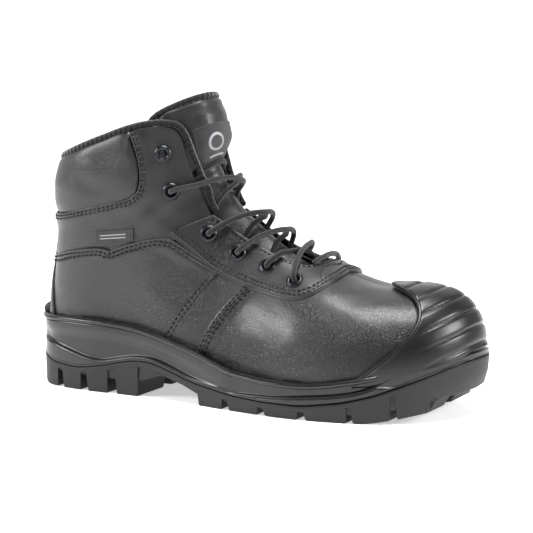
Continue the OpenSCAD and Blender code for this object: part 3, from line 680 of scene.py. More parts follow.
def round_cord(name, path, radius, sides, material, body="boot", ends=1.):
    """A closed round cord along a path in mm, its last millimetre at each end rounded off."""
    t, u, v = frames(path)
    along = np.concatenate([[0], np.cumsum(np.linalg.norm(np.diff(path, axis=0), axis=1))])
    a = np.linspace(0, 2 * np.pi, sides, endpoint=False)
    r = np.broadcast_to(np.asarray(radius, float), (len(path),)) * dome(np.minimum(along, along[-1] - along) + .12, ends, 2)
    points = path[:, None] + r[:, None, None] * (np.cos(a)[None, :, None] * u[:, None] + np.sin(a)[None, :, None] * v[:, None])
    n = len(path)
    faces = [list(f) for f in net_faces(n, sides, closed_j=True)]
    faces += [list(range(sides))[::-1], [(n - 1) * sides + k for k in range(sides)]]
    faces = [f[::-1] for f in faces]
    uv = np.stack([np.repeat(along[:, None], sides, 1) / 1000, np.repeat(a[None] / (2 * np.pi), n, 0)], -1).reshape(-1, 2)
    return mesh(name, points.reshape(-1, 3), faces, material, body, uv)


def on_last(line, count, depth):
    """A path in mm along a line of (s, p) points at one depth."""
    g = spline(line, np.linspace(0, len(line) - 1, count))
    return at(g, np.zeros(count) + depth), g


half_bind = [[7.15, -.195], [8.2, -.165], [9.2, -.175], [10.3, -.195], [11.3, -.21], [11.9, -.235], [12.25, -.285], [12.5, -.36],
             [12.62, -.44], [12.68, -.56], [12.76, -.72], [12.84, -.86], [12.87, -1]]
bind_line = half_bind + [[s, -2 - p] for s, p in half_bind[-2::-1]]
g = spline(bind_line, np.linspace(0, len(bind_line) - 1, 420))
q = np.abs(np.where(np.abs(g[:, 1]) > 1, 2 - np.abs(g[:, 1]), g[:, 1]))
piece = round_cord("collar_binding_tape", at(g, -1.4 - 1.2 * step(.3, .6, q)), 2.1 + .5 * step(.3, .6, q), 14, tape)
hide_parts("collar_binding")

# ---------------------------------------------------------------- tongue
# A padded tongue of soft leather over foam, lined with mesh, bound round its top with the same
# ribbed tape and carrying a square woven patch. It hinges at the throat; two folds of thin cloth
# join its sides to the facings. On the boot they take up its movement; here they are fixed pleated sheets that don't
# follow the tongue.
tongue_left = [[4.45, -.20], [5.3, -.27], [6.5, -.31], [8.2, -.31], [10, -.31], [11.4, -.315], [12.3, -.33], [12.78, -.30]]
tongue_right = mirror(tongue_left)


def tongue_depth(s, p):
    """Outside face of the tongue: down under the laces below, standing up between the facings above."""
    return -8.8 + step(9.3, 10.9, s) * (9.6 - 6 * step(.1, .24, np.abs(p)))


g = between(tongue_left, tongue_right, 190, 110, .5, .7)
edge = borders(at(g, tongue_depth(g[..., 0], g[..., 1])))
to_side = np.minimum(edge[2], edge[3])
s, p = g[..., 0], g[..., 1]
crown = 1.2 * np.cos(np.clip(p / .3, -1, 1) * np.pi / 2) * step(4.6, 6, s) * (1 - step(11.9, 12.5, s))
wrap_round = 4.6 * (1 - dome(to_side, 5.5, 2)) + 4.6 * (1 - dome(np.minimum(edge[0], edge[1]), 4, 2))
buckle = .7 * np.exp(-((s - 9.0) / .22) ** 2) + .45 * np.exp(-((s - 8.2) / .2) ** 2) + .3 * np.sin(s * 9) * step(7.6, 8.2, s) * (1 - step(9.6, 10.4, s))
top = tongue_depth(s, p) + crown - np.minimum(wrap_round, 4.7) - buckle
piece = sheet("tongue_pad_leather", at(g, top), at(g, tongue_depth(s, p) - 4.85), soft_leather, "tongue")
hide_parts("tongue_shell", "tongue_foam")

g = between(tongue_left, tongue_right, 90, 44, .4, .4)
base = tongue_depth(g[..., 0], g[..., 1])
quilt = .5 * np.abs(np.sin(g[..., 0] * np.pi / 1.1))
piece = sheet("tongue_lining_mesh", at(g, base - 5.0), at(g, base - 5.6 - quilt), lining_mesh, "tongue")
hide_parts("tongue_lining")

tongue_top = [[11.5, -.345], [12.2, -.355], [12.62, -.34], [12.8, -.24], [12.84, 0], [12.8, .24], [12.62, .34], [12.2, .355], [11.5, .345]]
g = spline(tongue_top, np.linspace(0, 8, 160))
piece = round_cord("tongue_binding_tape", at(g, tongue_depth(g[:, 0], g[:, 1]) - 2.6), 2.2, 14, tape, "tongue")
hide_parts("tongue_binding")

# woven patch: satin polyester, black, with a plain pale ring over a short bar, and a sewn border
patch_cloth, tree, shader = finish("woven patch", "#1a1b1d", .7, .35, Sheen_Weight=.25)
place = add(tree, "ShaderNodeTexCoord")
axes = add(tree, "ShaderNodeSeparateXYZ", None, {0: place.outputs["UV"]})


def plain(operation, a, b=None, **more):
    """One arithmetic node; a and b are outputs or numbers."""
    node = tree.nodes.new("ShaderNodeMath")
    node.operation = operation
    for k, value in enumerate((a, b)):
        if value is None:
            continue
        if isinstance(value, (int, float)):
            node.inputs[k].default_value = value
        else:
            tree.links.new(value, node.inputs[k])
    return node.outputs[0]


def within(value, centre, half):
    """1 where value is within half of centre."""
    return plain("LESS_THAN", plain("ABSOLUTE", plain("SUBTRACT", value, centre)), half)


up, over = axes.outputs[0], axes.outputs[1]
from_middle = plain("SQRT", plain("ADD", plain("POWER", plain("SUBTRACT", up, .0165), 2.), plain("POWER", plain("SUBTRACT", over, .0145), 2.)))
mark = plain("ADD", within(from_middle, .0056, .0009), plain("MULTIPLY", within(up, .0065, .0008), within(over, .0145, .007)))
tone = add(tree, "ShaderNodeMix", {"data_type": "RGBA", 6: colour("#1a1b1d"), 7: colour("#a8aaad")}, {0: mark})
tree.links.new(tone.outputs[2], shader.inputs["Base Color"])
threads = add(tree, "ShaderNodeTexWave", {"Scale": 900.}, {"Vector": place.outputs["UV"]})
relief(tree, shader, threads.outputs["Fac"], .0002)

corner_low, corner_high = [9.3, .16], [11.5, .18]
g = between([[corner_low[0], -corner_low[1]], [corner_high[0], -corner_high[1]]], [corner_low, corner_high], 60, 50, .3, .3)
edge = np.minimum.reduce(borders(at(g, np.zeros(g.shape[:2]))))
base = tongue_depth(g[..., 0], g[..., 1]) + 1.2 * np.cos(np.clip(g[..., 1] / .3, -1, 1) * np.pi / 2)
border_line = np.exp(-((edge - 2.) / .7) ** 2)
piece = sheet("tongue_patch", at(g, base + .9 - rolled(edge, .6) - .25 * border_line), at(g, base - .3), patch_cloth, "tongue")
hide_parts("tongue_label")

# thin water-tight cloth of the gussets: black polyamide, plain weave
gusset_cloth, tree, shader = finish("coated polyamide cloth", "#151516", .7, .35, Sheen_Weight=.2)
place = add(tree, "ShaderNodeTexCoord")
weave = add(tree, "ShaderNodeTexChecker", {"Scale": 1400.}, {"Vector": place.outputs["UV"]})
relief(tree, shader, weave.outputs["Fac"], .00012)
for side, turn in (("lateral", list), ("medial", mirror)):
    tongue_side = turn([[5.0, -.25], [6.3, -.29], [8.0, -.285], [9.2, -.285]])
    facing_side = turn([[5.0, -.33], [6.3, -.35], [8.0, -.35], [9.2, -.35]])
    g = between(tongue_side, facing_side, 60, 16, 0, 0)
    fold = -8.3 + .5 * np.cos(np.linspace(0, 1, 17)[None] * 4 * np.pi) + 0 * g[..., 0]
    piece = sheet("gusset_cloth_" + side, at(g, fold), at(g, fold - .3), gusset_cloth, None)
    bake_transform(piece)
    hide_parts("gusset_" + side)

# ---------------------------------------------------------------- eyelets
# Turned brass eyelets in a black nickel plate, set with a rolled flange outside; the six on each
# side follow the facing.
eyelet_metal, tree, shader = finish("black nickel plate", "#3a3b3e", .34, .5, Metallic=1)
place = add(tree, "ShaderNodeTexCoord")
mottle(tree, shader, place.outputs["Object"], .0015, "#3e4043", "#2c2d30", .26, .4)
hole_radius, flange_radius = 2.85, 5.5


def eyelets(name, places):
    """Rings of one rounded profile turned about the normal of the last at each place."""
    flange = np.stack([np.linspace(hole_radius, flange_radius, 12), .25 + .95 * np.sin(np.linspace(.35, np.pi, 12))], -1)
    profile = np.vstack([[hole_radius, -4.4], [hole_radius, -2], flange, [flange_radius, 0], [hole_radius + .5, 0], [hole_radius + .5, -4.4]])
    turn = np.linspace(0, 2 * np.pi, 48, endpoint=False)
    points, faces, k, m = [], [], 0, len(profile)
    for s, p, base in places:
        c, n = last(s, p), outward(s, p)
        u = np.cross(n, [0, 0, 1.])
        u /= np.linalg.norm(u)
        w = np.cross(n, u)
        spin = np.cos(turn)[:, None] * u + np.sin(turn)[:, None] * w
        points.append((c + profile[None, :, :1] * spin[:, None] + (base + profile[None, :, 1:]) * n).reshape(-1, 3))
        faces.append(net_faces(48, m, True, True) + k)
        k += 48 * m
    piece = mesh(name, np.vstack(points), np.vstack(faces), eyelet_metal)
    return piece


for side, sign in (("lateral", 1), ("medial", -1)):
    piece = eyelets("eyelets_row_" + side, [(s, p * sign, 2.1) for s, p in eyelet_places[2:]])
    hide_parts("eyelets_" + side)
    s, p = eyelet_places[0]
    piece = eyelets("eyelet_top_" + side, [(s, p * sign, .8)])
    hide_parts("top_eyelet_" + side)
s, p = eyelet_places[1]
piece = eyelets("eyelets_instep", [(s, p, .8), (s, -p, .8)])
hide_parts("instep_eyelets")

# ---------------------------------------------------------------- lace
# One round woven polyester lace, 3.5 mm, crossed over the tongue from the second eyelets down to
# a bar at the bottom; its ends are tucked inside. Braided: two sets of slanting strands.
lace_cord, tree, shader = finish("braided polyester lace", "#161617", .75, .35, Sheen_Weight=.3, Sheen_Roughness=.4)
place = add(tree, "ShaderNodeTexCoord")
axes = add(tree, "ShaderNodeSeparateXYZ", None, {0: place.outputs["UV"]})
# along the cord one plait is 2.2 mm long; 6 strands lie side by side round it
along = plain("MULTIPLY", axes.outputs[0], 2 * math.pi / .0022)
about = plain("MULTIPLY", axes.outputs[1], 2 * math.pi * 6)
one_way = plain("SINE", plain("ADD", along, about))
other_way = plain("SINE", plain("SUBTRACT", along, about))
plait = plain("MULTIPLY_ADD", plain("MAXIMUM", one_way, other_way), .5)
tree.nodes[-1].inputs[2].default_value = .5
# the hollows between the strands are painted darker: painted shade between the strands
tone = add(tree, "ShaderNodeMix", {"data_type": "RGBA", 6: colour("#050506"), 7: colour("#121213")}, {0: plait})
tree.links.new(tone.outputs[2], shader.inputs["Base Color"])
relief(tree, shader, plait, .00035)


def crossing(i, side, j, c):
    """Out of eyelet i on one side, across the throat at depth c, and up inside eyelet j on the other."""
    (s0, p0), (s1, p1) = eyelet_places[i], eyelet_places[j]
    a, b, rise = p0 * side, -p1 * side, 3.4 if i < 2 else 4.4
    f, above = -np.sign(a), c > 1
    mix = lambda q: s0 * (1 - q) + s1 * q
    start = [[s0, a, -5.5], [s0, a, -2], [s0, a, rise - 1], [s0 - .05, a + f * .018, rise + 1.2], [mix(.2), a + f * .11, rise + .6],
             [mix(.34), a + f * .2, 4.2 if above else 1.4], [mix(.5), 0, c]]
    if i < 2:
        return start + [[mix(.62), b - f * .22, -4.6], [mix(.8), b - f * .12, -6.2], [s1 + .02, b - f * .03, -6.2]]
    return start + [[mix(.64), b - f * .23, 2.2 if above else -3.2], [mix(.78), b - f * .13, -5.6], [s1 + .01, b - f * .03, -6.2]]


first_end = [[5.14, .362, -5.5], [5.14, .362, -2], [5.14, .362, 3.4], [5.1, .34, 5.6], [4.95, .22, 4.8], [4.8, 0, 3.6], [4.62, -.22, 4.8],
             [4.47, -.36, 5.6], [4.44, -.382, 3.4], [4.44, -.382, -2], [4.44, -.384, -5.5], [4.54, -.405, -7.8], [4.9, -.44, -8.7], [5.2, -.45, -8.7]]
second_end = [[4.44, .382, -5.5], [4.44, .382, -2], [4.44, .382, 3.4], [4.4, .35, 5.6], [4.3, .22, 4.8], [4.22, .08, 4.2], [4.2, -.08, 4.2],
              [4.26, -.2, 3.6]]
middle = [[9.39, -.24, -6.1], [9.4, -.16, -6], [9.4, -.08, -6], [9.4, 0, -6], [9.4, .08, -6], [9.4, .16, -6], [9.39, .24, -6.1]]
one = crossing(1, 1, 2, 3.4) + crossing(2, -1, 3, -1.6) + crossing(3, 1, 4, 3.2) + first_end
two = crossing(1, -1, 2, -1) + crossing(2, 1, 3, 3.2) + crossing(3, -1, 4, -1.6) + crossing(4, 1, 5, -1.6) + second_end
route = one[::-1] + middle + two
g = spline(route, np.linspace(0, len(route) - 1, 1500))
way = at(g[:, :2], g[:, 2])
run = np.concatenate([[0], np.cumsum(np.linalg.norm(np.diff(way, axis=0), axis=1))])
way = np.stack([np.interp(np.linspace(0, run[-1], 1100), run, way[:, k]) for k in range(3)], -1)
for _ in range(3):
    way[1:-1] = .25 * way[:-2] + .5 * way[1:-1] + .25 * way[2:]
piece = round_cord("lace_braid", way, 1.75, 14, lace_cord)
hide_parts("lace")

# clear-coated plastic tip crimped on the lace end
aglet, tree, shader = finish("crimped plastic aglet", "#1c1c1e", .22, .5)
place = add(tree, "ShaderNodeTexCoord")
mottle(tree, shader, place.outputs["Object"], .001, "#222224", "#161618", .18, .3)
leave_as_cut("lace_aglets", aglet)

# ---------------------------------------------------------------- side label
# A small folded label of woven satin, sewn flat on the outer ankle panel, with two plain pale lines.
label_cloth, tree, shader = finish("woven satin label", "#131314", .6, .4, Sheen_Weight=.2)
place = add(tree, "ShaderNodeTexCoord")
axes = add(tree, "ShaderNodeSeparateXYZ", None, {0: place.outputs["UV"]})
across_label, along_label = axes.outputs[1], axes.outputs[0]
two_lines = plain("ADD", within(across_label, .0032, .00035), within(across_label, .0052, .00035))
mark = plain("MULTIPLY", two_lines, within(along_label, .014, .0095))
tone = add(tree, "ShaderNodeMix", {"data_type": "RGBA", 6: colour("#131314"), 7: colour("#9fa1a4")}, {0: mark})
tree.links.new(tone.outputs[2], shader.inputs["Base Color"])
threads = add(tree, "ShaderNodeTexWave", {"Scale": 1100.}, {"Vector": place.outputs["UV"]})
relief(tree, shader, threads.outputs["Fac"], .00015)
x = np.linspace(-98, -70, 40)[:, None]
rise = np.linspace(0, 8, 14)[None]
height = 96.5 + 3 * (x + 98) / 28 + rise
angle = 1 + (x + 147.5 - 42 - 5.4) / 60 + 0 * rise
edge = np.minimum.reduce(borders(around(height, -angle)))
piece = sheet("side_label_cloth", around(height, -angle, 1.25 - rolled(edge, .5)), around(height, -angle, np.full(edge.shape, .2)), label_cloth)
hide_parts("side_label")

# ---------------------------------------------------------------- outsole
# Nitrile rubber, black, moulded in one with its tread: a slab whose edge stands 1 mm proud along
# the parting line, and ten pairs of blocks under it with a channel down the middle.
outsole_rubber, tree, shader = finish("nitrile rubber", "#121213", .58, .45)
place = add(tree, "ShaderNodeTexCoord")
cloud = mottle(tree, shader, place.outputs["Object"], .004, "#151516", "#0f0f10", .5, .66, 6)
relief(tree, shader, cloud.outputs[0], .00008)

# lines along the sole, (x, z) in mm
parting = np.array([[-152.5, 24], [-135, 17], [-113, 15], [-93, 18], [-70, 23.3], [-55, 23.5], [-40, 19.5], [-23, 14.4], [9, 10], [31, 9],
                    [59, 9.2], [84, 12.8], [103, 17.7], [118, 23.5], [138, 32], [152.5, 38]])
slab_under = np.array([[-152.5, 11], [-65, 9], [-61, 10.5], [-52, 15.5], [-45, 15.3], [-30, 11], [-20, 7], [-10, 4.7], [60, 4.4], [95, 5],
                       [118, 9], [138, 13], [152.5, 16.5]])
ground = np.array([[-152.5, 3], [-142, 0], [98, 0], [113, 2.6], [141, 8.8], [150, 13]])
rim = np.array([[-152.5, 46.5], [-134, 46.8], [-120, 47.6], [-93, 47.4], [-72, 45.6], [-55, 42.6], [-40, 39], [-23, 34.6], [-8, 29.6], [9, 25],
                [31, 22.6], [58, 22.2], [72, 23.6], [84, 25.6], [96, 28], [108, 30.5], [118, 32.5], [138, 39], [152.5, 44.5]])


def height_on(line, x):
    """Height of a line along the sole at x, rounded at its corners."""
    return sum(w * np.interp(x + k, line[:, 0], line[:, 1]) for k, w in ((-5, .2), (-2.5, .2), (0, .2), (2.5, .2), (5, .2)))


count = 480
fine = plan(np.linspace(0, 22, 4400, endpoint=False))
run = np.concatenate([[0], np.cumsum(np.linalg.norm(np.diff(np.vstack([fine, fine[:1]]), axis=0), axis=1))])
ring_u = np.interp(np.linspace(0, run[-1], count, endpoint=False), run, np.linspace(0, 22, 4401))
# half of the places on the outer side, mirrored in number on the inner, so that strips join them
heel_at = np.interp(11., np.linspace(0, 22, 4401), run)
outer_u = np.interp(np.linspace(0, heel_at, count // 2 + 1), run, np.linspace(0, 22, 4401))
inner_u = np.interp(np.linspace(heel_at, run[-1], count // 2 + 1), run, np.linspace(0, 22, 4401))[1:-1]
ring_u = np.concatenate([outer_u, inner_u])


def loops(rows):
    """Nested loops round the sole: each row gives the inset and the height at every place."""
    out = []
    for inset, z in rows:
        edge = plan_in(ring_u, np.zeros(count) + inset)
        out.append(np.concatenate([edge, np.broadcast_to(z, (count,))[:, None]], 1))
    return np.stack(out, 1)


def strips(row, turned):
    """Faces across a loop from the outer side to the inner."""
    j = np.arange(count // 2)
    a, b = row[j], row[j + 1]
    c, d = row[(count - j - 1) % count], row[(count - j) % count]
    faces = np.stack([a, b, c, d], -1)
    return [list(dict.fromkeys(f)) for f in (faces[:, ::-1] if turned else faces).tolist()]


def moulded(name, rows, material):
    """A closed ring of loops, first and last loop filled across."""
    net = loops(rows)
    n, m = net.shape[:2]
    ids = np.arange(n * m).reshape(n, m)
    faces = net_faces(n, m, closed_i=True).tolist()
    low, high = strips(ids[:, 0], True), strips(ids[:, -1], False)
    # the outline runs clockwise seen from above
    faces = [f[::-1] for f in faces]
    centre = net[:, m // 2].mean(0)
    p = net.reshape(-1, 3)
    f = faces[count * m // 8]
    normal = np.cross(p[f[1]] - p[f[0]], p[f[2]] - p[f[1]])
    faces = faces if np.dot(normal, (p[f[0]] - centre) * [1, 1, 0]) > 0 else [q[::-1] for q in faces]
    for part, up in ((low, -1), (high, 1)):
        q = part[len(part) // 2]
        z = np.cross(p[q[1]] - p[q[0]], p[q[2]] - p[q[1]])[2]
        faces += part if z * up > 0 else [g[::-1] for g in part]
    around_uv = np.concatenate([[0], np.cumsum(np.linalg.norm(np.diff(net[:, m // 2], axis=0), axis=1))])
    up_uv = np.hstack([np.zeros((n, 1)), np.cumsum(np.linalg.norm(np.diff(net, axis=1), axis=2), 1)])
    uv = np.stack([np.repeat(around_uv[:, None], m, 1), up_uv], -1).reshape(-1, 2) / 1000
    return mesh(name, p, faces, material, "boot", uv)


ring = plan(ring_u)
ring_x = ring[:, 0]
line_z, under_z = height_on(parting, ring_x), height_on(slab_under, ring_x)
toe_turn = step(112, 148, ring_x)
piece = moulded("outsole_slab", [(14, under_z), (2.1 + 6 * toe_turn, under_z), (1.4 + 4 * toe_turn, under_z + .8), (1.15 + 1.7 * toe_turn, under_z + 2.8),
                                 (1.1 - .4 * toe_turn, .4 * under_z + .6 * line_z - 2), (1.1 - .95 * toe_turn, line_z - 4.6), (.95 - .8 * toe_turn, line_z - 4.2),
                                 (.15, line_z - 3.9), (0, line_z - 3.6), (0, line_z - 1.1), (.12, line_z - .7), (.5, line_z - .5), (4, line_z - .5)], outsole_rubber)
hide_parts("outsole")

blocks = [[-149.6, -129], [-125, -109], [-104.5, -88], [-82.5, -65], [-18, 2], [6, 29], [33, 57], [61, 88], [90.5, 113], [115.5, 135]]
outer_half = plan(np.linspace(0, 11, 400))[::-1]
inner_half = plan(np.linspace(11, 22, 400))
points, faces, total = [], [], 0
for x0, x1 in blocks:
    for half, inner_y, sign in ((outer_half, -2, -1), (inner_half, 7, 1)):
        v, w = bunched(16, .8)[:, None], bunched(16, .8)[None]
        nets = []
        for draft, level in ((.9, 0), (0., 1)):
            front = draft + (3 if x1 > 130 and not level else 0)
            x = (x0 + draft) + (x1 - x0 - draft - front) * v
            far = np.interp(x, half[:, 0], half[:, 1]) - sign * (.1 + draft + (4 * step(112, 140, x) if not level else 0))
            near = inner_y + sign * (1.2 * draft)
            y = near + (far - near) * w
            z = height_on(parting, x + 0 * y) - 3.9 if level else height_on(ground, x + 0 * y)
            if level:
                # only the edge of a block climbs to the parting line; inside it ends in the slab
                z = np.where(w > .9, z, np.minimum(z, height_on(slab_under, x) + 1.5))
            nets.append(np.stack(np.broadcast_arrays(x, y, z), -1))
        low, high = nets
        edge = np.minimum.reduce(borders(low))
        low = low + np.array([0, 0, 1.]) * rolled(edge, .8)[..., None]
        n, m = low.shape[:2]
        ids = np.arange(n * m).reshape(n, m)
        quads = net_faces(n, m)
        loop = np.concatenate([ids[:, 0], ids[-1, 1:], ids[:-1, -1][::-1], ids[0, 1:-1][::-1]])
        after = np.roll(loop, -1)
        wall = np.stack([loop, after, after + n * m, loop + n * m], -1)
        test = np.cross(low[1, 0] - low[0, 0], low[0, 1] - low[0, 0])[2]
        quads, wall = (quads[:, ::-1], wall[:, ::-1]) if test > 0 else (quads, wall)
        # here the low net must face down, so the wall turns with it
        both = np.vstack([quads, quads[:, ::-1] + n * m, wall])
        points.append(np.vstack([low.reshape(-1, 3), high.reshape(-1, 3)]))
        faces.append(both + total)
        total += 2 * n * m
piece = mesh("outsole_tread_blocks", np.vstack(points), np.vstack(faces), outsole_rubber, smooth=False)

# ---------------------------------------------------------------- midsole
# Polyurethane, moulded straight onto the upper: a wall round the whole boot with a rounded bead
# along its rim, a long scooped recess in each side of the heel and a shallow set-back forefoot.
midsole_pu, tree, shader = finish("black polyurethane", "#0f0f10", .3, .5)
place = add(tree, "ShaderNodeTexCoord")
cloud = mottle(tree, shader, place.outputs["Object"], .006, "#121213", "#0c0c0d", .24, .36, 5)
fine_grain = add(tree, "ShaderNodeTexNoise", {"Scale": 1800., "Detail": 2}, {"Vector": place.outputs["Object"]})
relief(tree, shader, fine_grain.outputs[0], .00005)

rim_z = height_on(rim, ring_x)
outer_side = ring[:, 1] < 3
draw_in = np.where(outer_side, 4.5, 2.5) * step(-60, -15, ring_x) * (1 - step(40, 75, ring_x))
inner_edge = 5.2 + draw_in * 0 + .0
rows, levels = [], np.linspace(0, 1, 34)
bottom, wall_top = line_z + 1.2, rim_z - 3.5
# the recess: soft above, sharp below, from the heel to the waist
recess_top = rim_z - 8.5
recess_line = np.array([[-152, 31], [-140, 29.6], [-122, 25.5], [-106, 21.5], [-93, 20.2], [-70, 25.2], [-55, 25.4], [-40, 21.4], [-23, 16.3], [9, 12]])
recess_low = np.maximum(line_z + 1.6, height_on(recess_line, ring_x))
present = step(-150, -140, ring_x) * (1 - step(-50, 15, ring_x))
wing = np.array([[-160, 0], [0, 9.5], [9, 10.8], [40, 11.8], [77, 15.5], [92, 18], [103, 21.6], [113, 28], [120, 35], [127, 43], [160, 50]])
wing_z = height_on(wing, ring_x)
forefoot = step(2, 16, ring_x)
rows = [(8, line_z - .6), (2.2, line_z - .6), (.9, line_z - .4), (.35, line_z + .1), (.05, line_z + .7)]
for q in levels:
    z = bottom + (wall_top - bottom) * q
    scoop = 2.3 * present * step(0, 1.6, z - recess_low) * (1 - step(0, 7, z - (recess_top - 5.)))
    set_back = 1.3 * forefoot * step(0, 1.2, z - wing_z - .4)
    rows.append((scoop + set_back + .25, z))
tucked = 2.4 * step(98, 114, ring_x)
rows += [(.75 + .5 * forefoot + tucked, rim_z - 3.5), (-.2 + tucked, rim_z - 3.1), (-.95 + tucked, rim_z - 2.4), (-1.2 + tucked, rim_z - 1.6),
         (-.9 + tucked, rim_z - .8), (-.2 + tucked, rim_z - .2), (.7 + tucked, rim_z + .15), (1.7 + tucked * .7, rim_z + .3), (2.8 + tucked * .5, rim_z + .1),
         (3.5 + tucked * .4, rim_z - .2)]
inside = height_inside = feather(ring_x)
rows += [(4.4, rim_z - .6), (4.6, np.minimum(rim_z - 1.4, inside + 6)), (4.6, np.minimum(rim_z - 1.6, inside - 2.8)), (5.5, inside - 3.4), (9, inside - 3.4)]
piece = moulded("midsole_wall", rows, midsole_pu)
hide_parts("midsole")

# ---------------------------------------------------------------- toe scuff cap
# Moulded rubber bumper bonded over the toe: it climbs over the steel cap to a raised bead, has
# slanting ribs on the front, and runs back along the sole as a low wing that thins out.
scuff_rubber, tree, shader = finish("moulded scuff rubber", "#111112", .4, .5)
place = add(tree, "ShaderNodeTexCoord")
cloud = mottle(tree, shader, place.outputs["Object"], .005, "#111112", "#0b0b0c", .27, .38, 6)
fine_grain = add(tree, "ShaderNodeTexNoise", {"Scale": 1600., "Detail": 3}, {"Vector": place.outputs["Object"]})
relief(tree, shader, fine_grain.outputs[0], .00009)


def cap_edge(q):
    """Where the cap ends behind: a shallow dip on top, reaching further back at the sides."""
    places = np.array([[0, 1.9], [.12, 1.84], [.25, 1.7], [.4, 1.65], [.5, 1.68], [.6, 1.76], [.7, 1.93], [.8, 2.2], [.9, 2.62], [1., 3.15]])
    return sum(np.interp(q + k, places[:, 0], places[:, 1]) for k in (-.04, -.02, 0, .02, .04)) / 5


r = (bunched(150, .3) * 2 - 1)[None]
v = (np.linspace(0, 1, 90)[:, None]) ** .9
s = cap_edge(np.abs(r)) * v
g = np.stack([s, r * np.minimum(.985, .845 + .05 * s)], -1)
flat = at(g, np.zeros(g.shape[:2]))
x, y, z = (flat[..., k] for k in range(3))
phase = ((z - .6 * x + .8) / 10.4) % 1
across = 1 - step(26, 42, np.abs(y - 9))
front = step(96, 106, x)
groove = 1.3 * (1 - np.clip(np.abs(phase - .5) * 2, 0, 1) ** 6) - 1.3
behind = borders(flat)[1]
depth = 3.8 + .8 * front + groove * across * front - rolled(behind, 1.4) * .6
piece = sheet("toe_scuff_cap_shell", at(g, depth), at(g, np.full(g.shape[:2], .3)), scuff_rubber, welded=True)
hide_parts("toe_scuff_cap")
# the bead along its rear edge
q = np.linspace(-.985, .985, 200)
g = np.stack([cap_edge(np.abs(q)), q * np.minimum(.985, .845 + .05 * cap_edge(np.abs(q)))], -1)
piece = round_cord("toe_scuff_cap_bead", at(g, np.full(200, 2.6)), 1.3 + .8 * step(.3, .9, np.abs(q)), 14, scuff_rubber)
# the wall below, from the parting line up under the cap, and the wing behind it
along = np.concatenate([np.linspace(4.6, 0, 160)[:-1], np.linspace(0, -4.6, 160)]) % 22
edge_x = plan(along)[:, 0]
foot_z = height_on(parting, edge_x) + .45
cap_foot = feather(edge_x) + 2.
wing_top = np.where(edge_x > 112, cap_foot, np.minimum(height_on(wing, edge_x), cap_foot))
wing_top = np.maximum(wing_top, foot_z + .6)
lift = np.linspace(0, 1, 30)[:, None]
rise = foot_z + (wing_top - foot_z) * lift
thick = (.9 * step(6, 30, edge_x) + .1)[None] + 0 * lift
phase = ((rise - .6 * edge_x + .8) / 10.4) % 1
y = plan(along)[:, 1]
rib = (1.3 * (1 - np.clip(np.abs(phase - .5) * 2, 0, 1) ** 6) - 1.3) * (1 - step(26, 42, np.abs(y - 9))) * step(100, 110, edge_x)
over = (wing_top - rise)
out = thick + rib * .8 - rolled(over, 1.2) - 1.1 * step(.4, 1, lift) * step(104, 118, edge_x)[None]


def wall_net(inset, level):
    edge = np.stack([plan_in(along, inset[k]) for k in range(len(level))])
    return np.concatenate([edge, level[..., None]], -1)


piece = sheet("toe_scuff_cap_wall", wall_net(-out, rise), wall_net(np.full(rise.shape, 2.2), rise), scuff_rubber)

# ---------------------------------------------------------------- footbed
# Loose insole: moulded foam under a knitted cover, dished at the heel, with a rolled edge.
footbed_cloth, tree, shader = finish("knitted footbed cover", "#45484d", .85, .3, Sheen_Weight=.25)
place = add(tree, "ShaderNodeTexCoord")
weave = add(tree, "ShaderNodeTexVoronoi", {"Scale": 700., "Randomness": .2}, {"Vector": place.outputs["Object"]})
# the dips of the knit are painted darker: painted shade in the dips
tone = add(tree, "ShaderNodeMix", {"data_type": "RGBA", 6: colour("#2f3236"), 7: colour("#54585e")}, {0: weave.outputs["Distance"]})
tree.links.new(tone.outputs[2], shader.inputs["Base Color"])
relief(tree, shader, weave.outputs["Distance"], .0004)
narrow = 4 * np.where(outer_side, 1, .4) * step(-60, -15, ring_x) * (1 - step(40, 75, ring_x))
base = feather(ring_x)
rows = [(welt + 16 + narrow, base + 1.3), (welt + 9.8 + narrow, base + 1.3), (welt + 9.3 + narrow, base + 2.2), (welt + 9.2 + narrow, base + 3.4),
        (welt + 9.4 + narrow, base + 4.8), (welt + 9.9 + narrow, base + 5.6), (welt + 10.8 + narrow, base + 5.9), (welt + 13 + narrow, base + 5.5), (welt + 18 + narrow, base + 4.9),
        (welt + 24 + narrow * .5, base + 4.6)]
piece = moulded("insole_footbed", rows, footbed_cloth)
piece.pop("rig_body", None)
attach(piece, "footbed")
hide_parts("insole")

# ---------------------------------------------------------------- stage
# A pale seamless sweep, soft light from the left, the right and above, and the camera.
floor_paint, tree, shader = finish("pale paper sweep", "#f4f4f5", .95, .1, Emission_Color=colour("#ffffff"), Emission_Strength=.5)
place = add(tree, "ShaderNodeTexCoord")
mottle(tree, shader, place.outputs["Object"], .5, "#f6f6f7", "#f2f2f3", .92, .97)
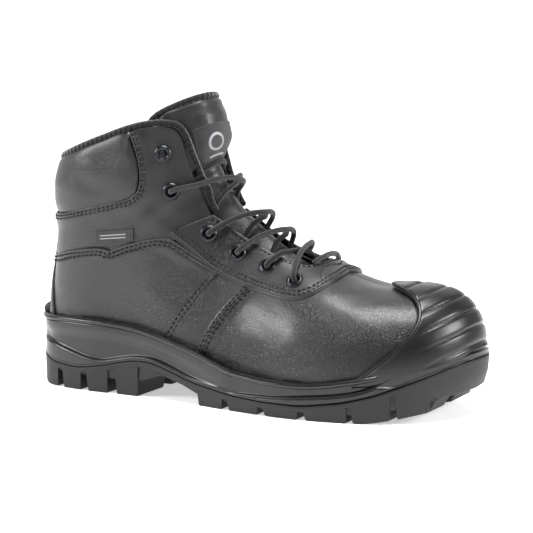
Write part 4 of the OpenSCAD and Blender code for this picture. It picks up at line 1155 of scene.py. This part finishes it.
# the sweep runs flat under the boot and curls up behind it, square to the camera
profile = [(-5., 0.), (1.8, 0.)] + [(1.8 + .8 * math.sin(t), .8 - .8 * math.cos(t)) for t in np.linspace(.1, math.pi / 2, 14)] + [(2.6, 4.)]
heading = math.radians(27)
points = [(-d * math.sin(heading) + w * math.cos(heading), d * math.cos(heading) + w * math.sin(heading), z) for w in (-5, 5) for d, z in profile]
n = len(profile)
me = bpy.data.meshes.new("sweep")
me.from_pydata(points, [], [(k, k + n, k + n + 1, k + 1) for k in range(n - 1)])
me.materials.append(floor_paint)
me.polygons.foreach_set("use_smooth", [True] * len(me.polygons))
sweep = bpy.data.objects.new("sweep", me)
bpy.context.scene.collection.objects.link(sweep)

world = bpy.data.worlds.new("studio")
bpy.context.scene.world = world
world.use_nodes = True
world.node_tree.nodes["Background"].inputs[0].default_value = (1, 1, 1, 1)
world.node_tree.nodes["Background"].inputs[1].default_value = .16
bpy.context.scene.view_settings.view_transform = "Standard"


def softbox(name, place, aim, size, power):
    """A square area light at place, turned to aim."""
    data = bpy.data.lights.new(name, "AREA")
    data.energy, data.size = power, size
    lamp = bpy.data.objects.new(name, data)
    lamp.location = place
    lamp.rotation_euler = (Vector(aim) - Vector(place)).to_track_quat("-Z", "Y").to_euler()
    bpy.context.scene.collection.objects.link(lamp)


softbox("left", (-1.25, -.85, .75), (-.05, 0, .09), .5, 20)
softbox("right", (1.45, .1, .7), (.1, 0, .06), .45, 18)
softbox("top", (.15, -.15, 1.5), (0, 0, .1), .7, 34)

turn, tilt = math.radians(27), math.radians(7.9)
aim = Vector((0, 0, .08))
away = Vector((math.sin(turn) * math.cos(tilt), -math.cos(turn) * math.cos(tilt), math.sin(tilt)))
lens = bpy.data.cameras.new("camera")
lens.lens, lens.sensor_width, lens.shift_x, lens.shift_y = 138.1, 36, .0206, .0103
camera = bpy.data.objects.new("camera", lens)
camera.location = aim + away * 1.3
camera.rotation_euler = (-away).to_track_quat("-Z", "Y").to_euler()
bpy.context.scene.collection.objects.link(camera)
bpy.context.scene.camera = camera
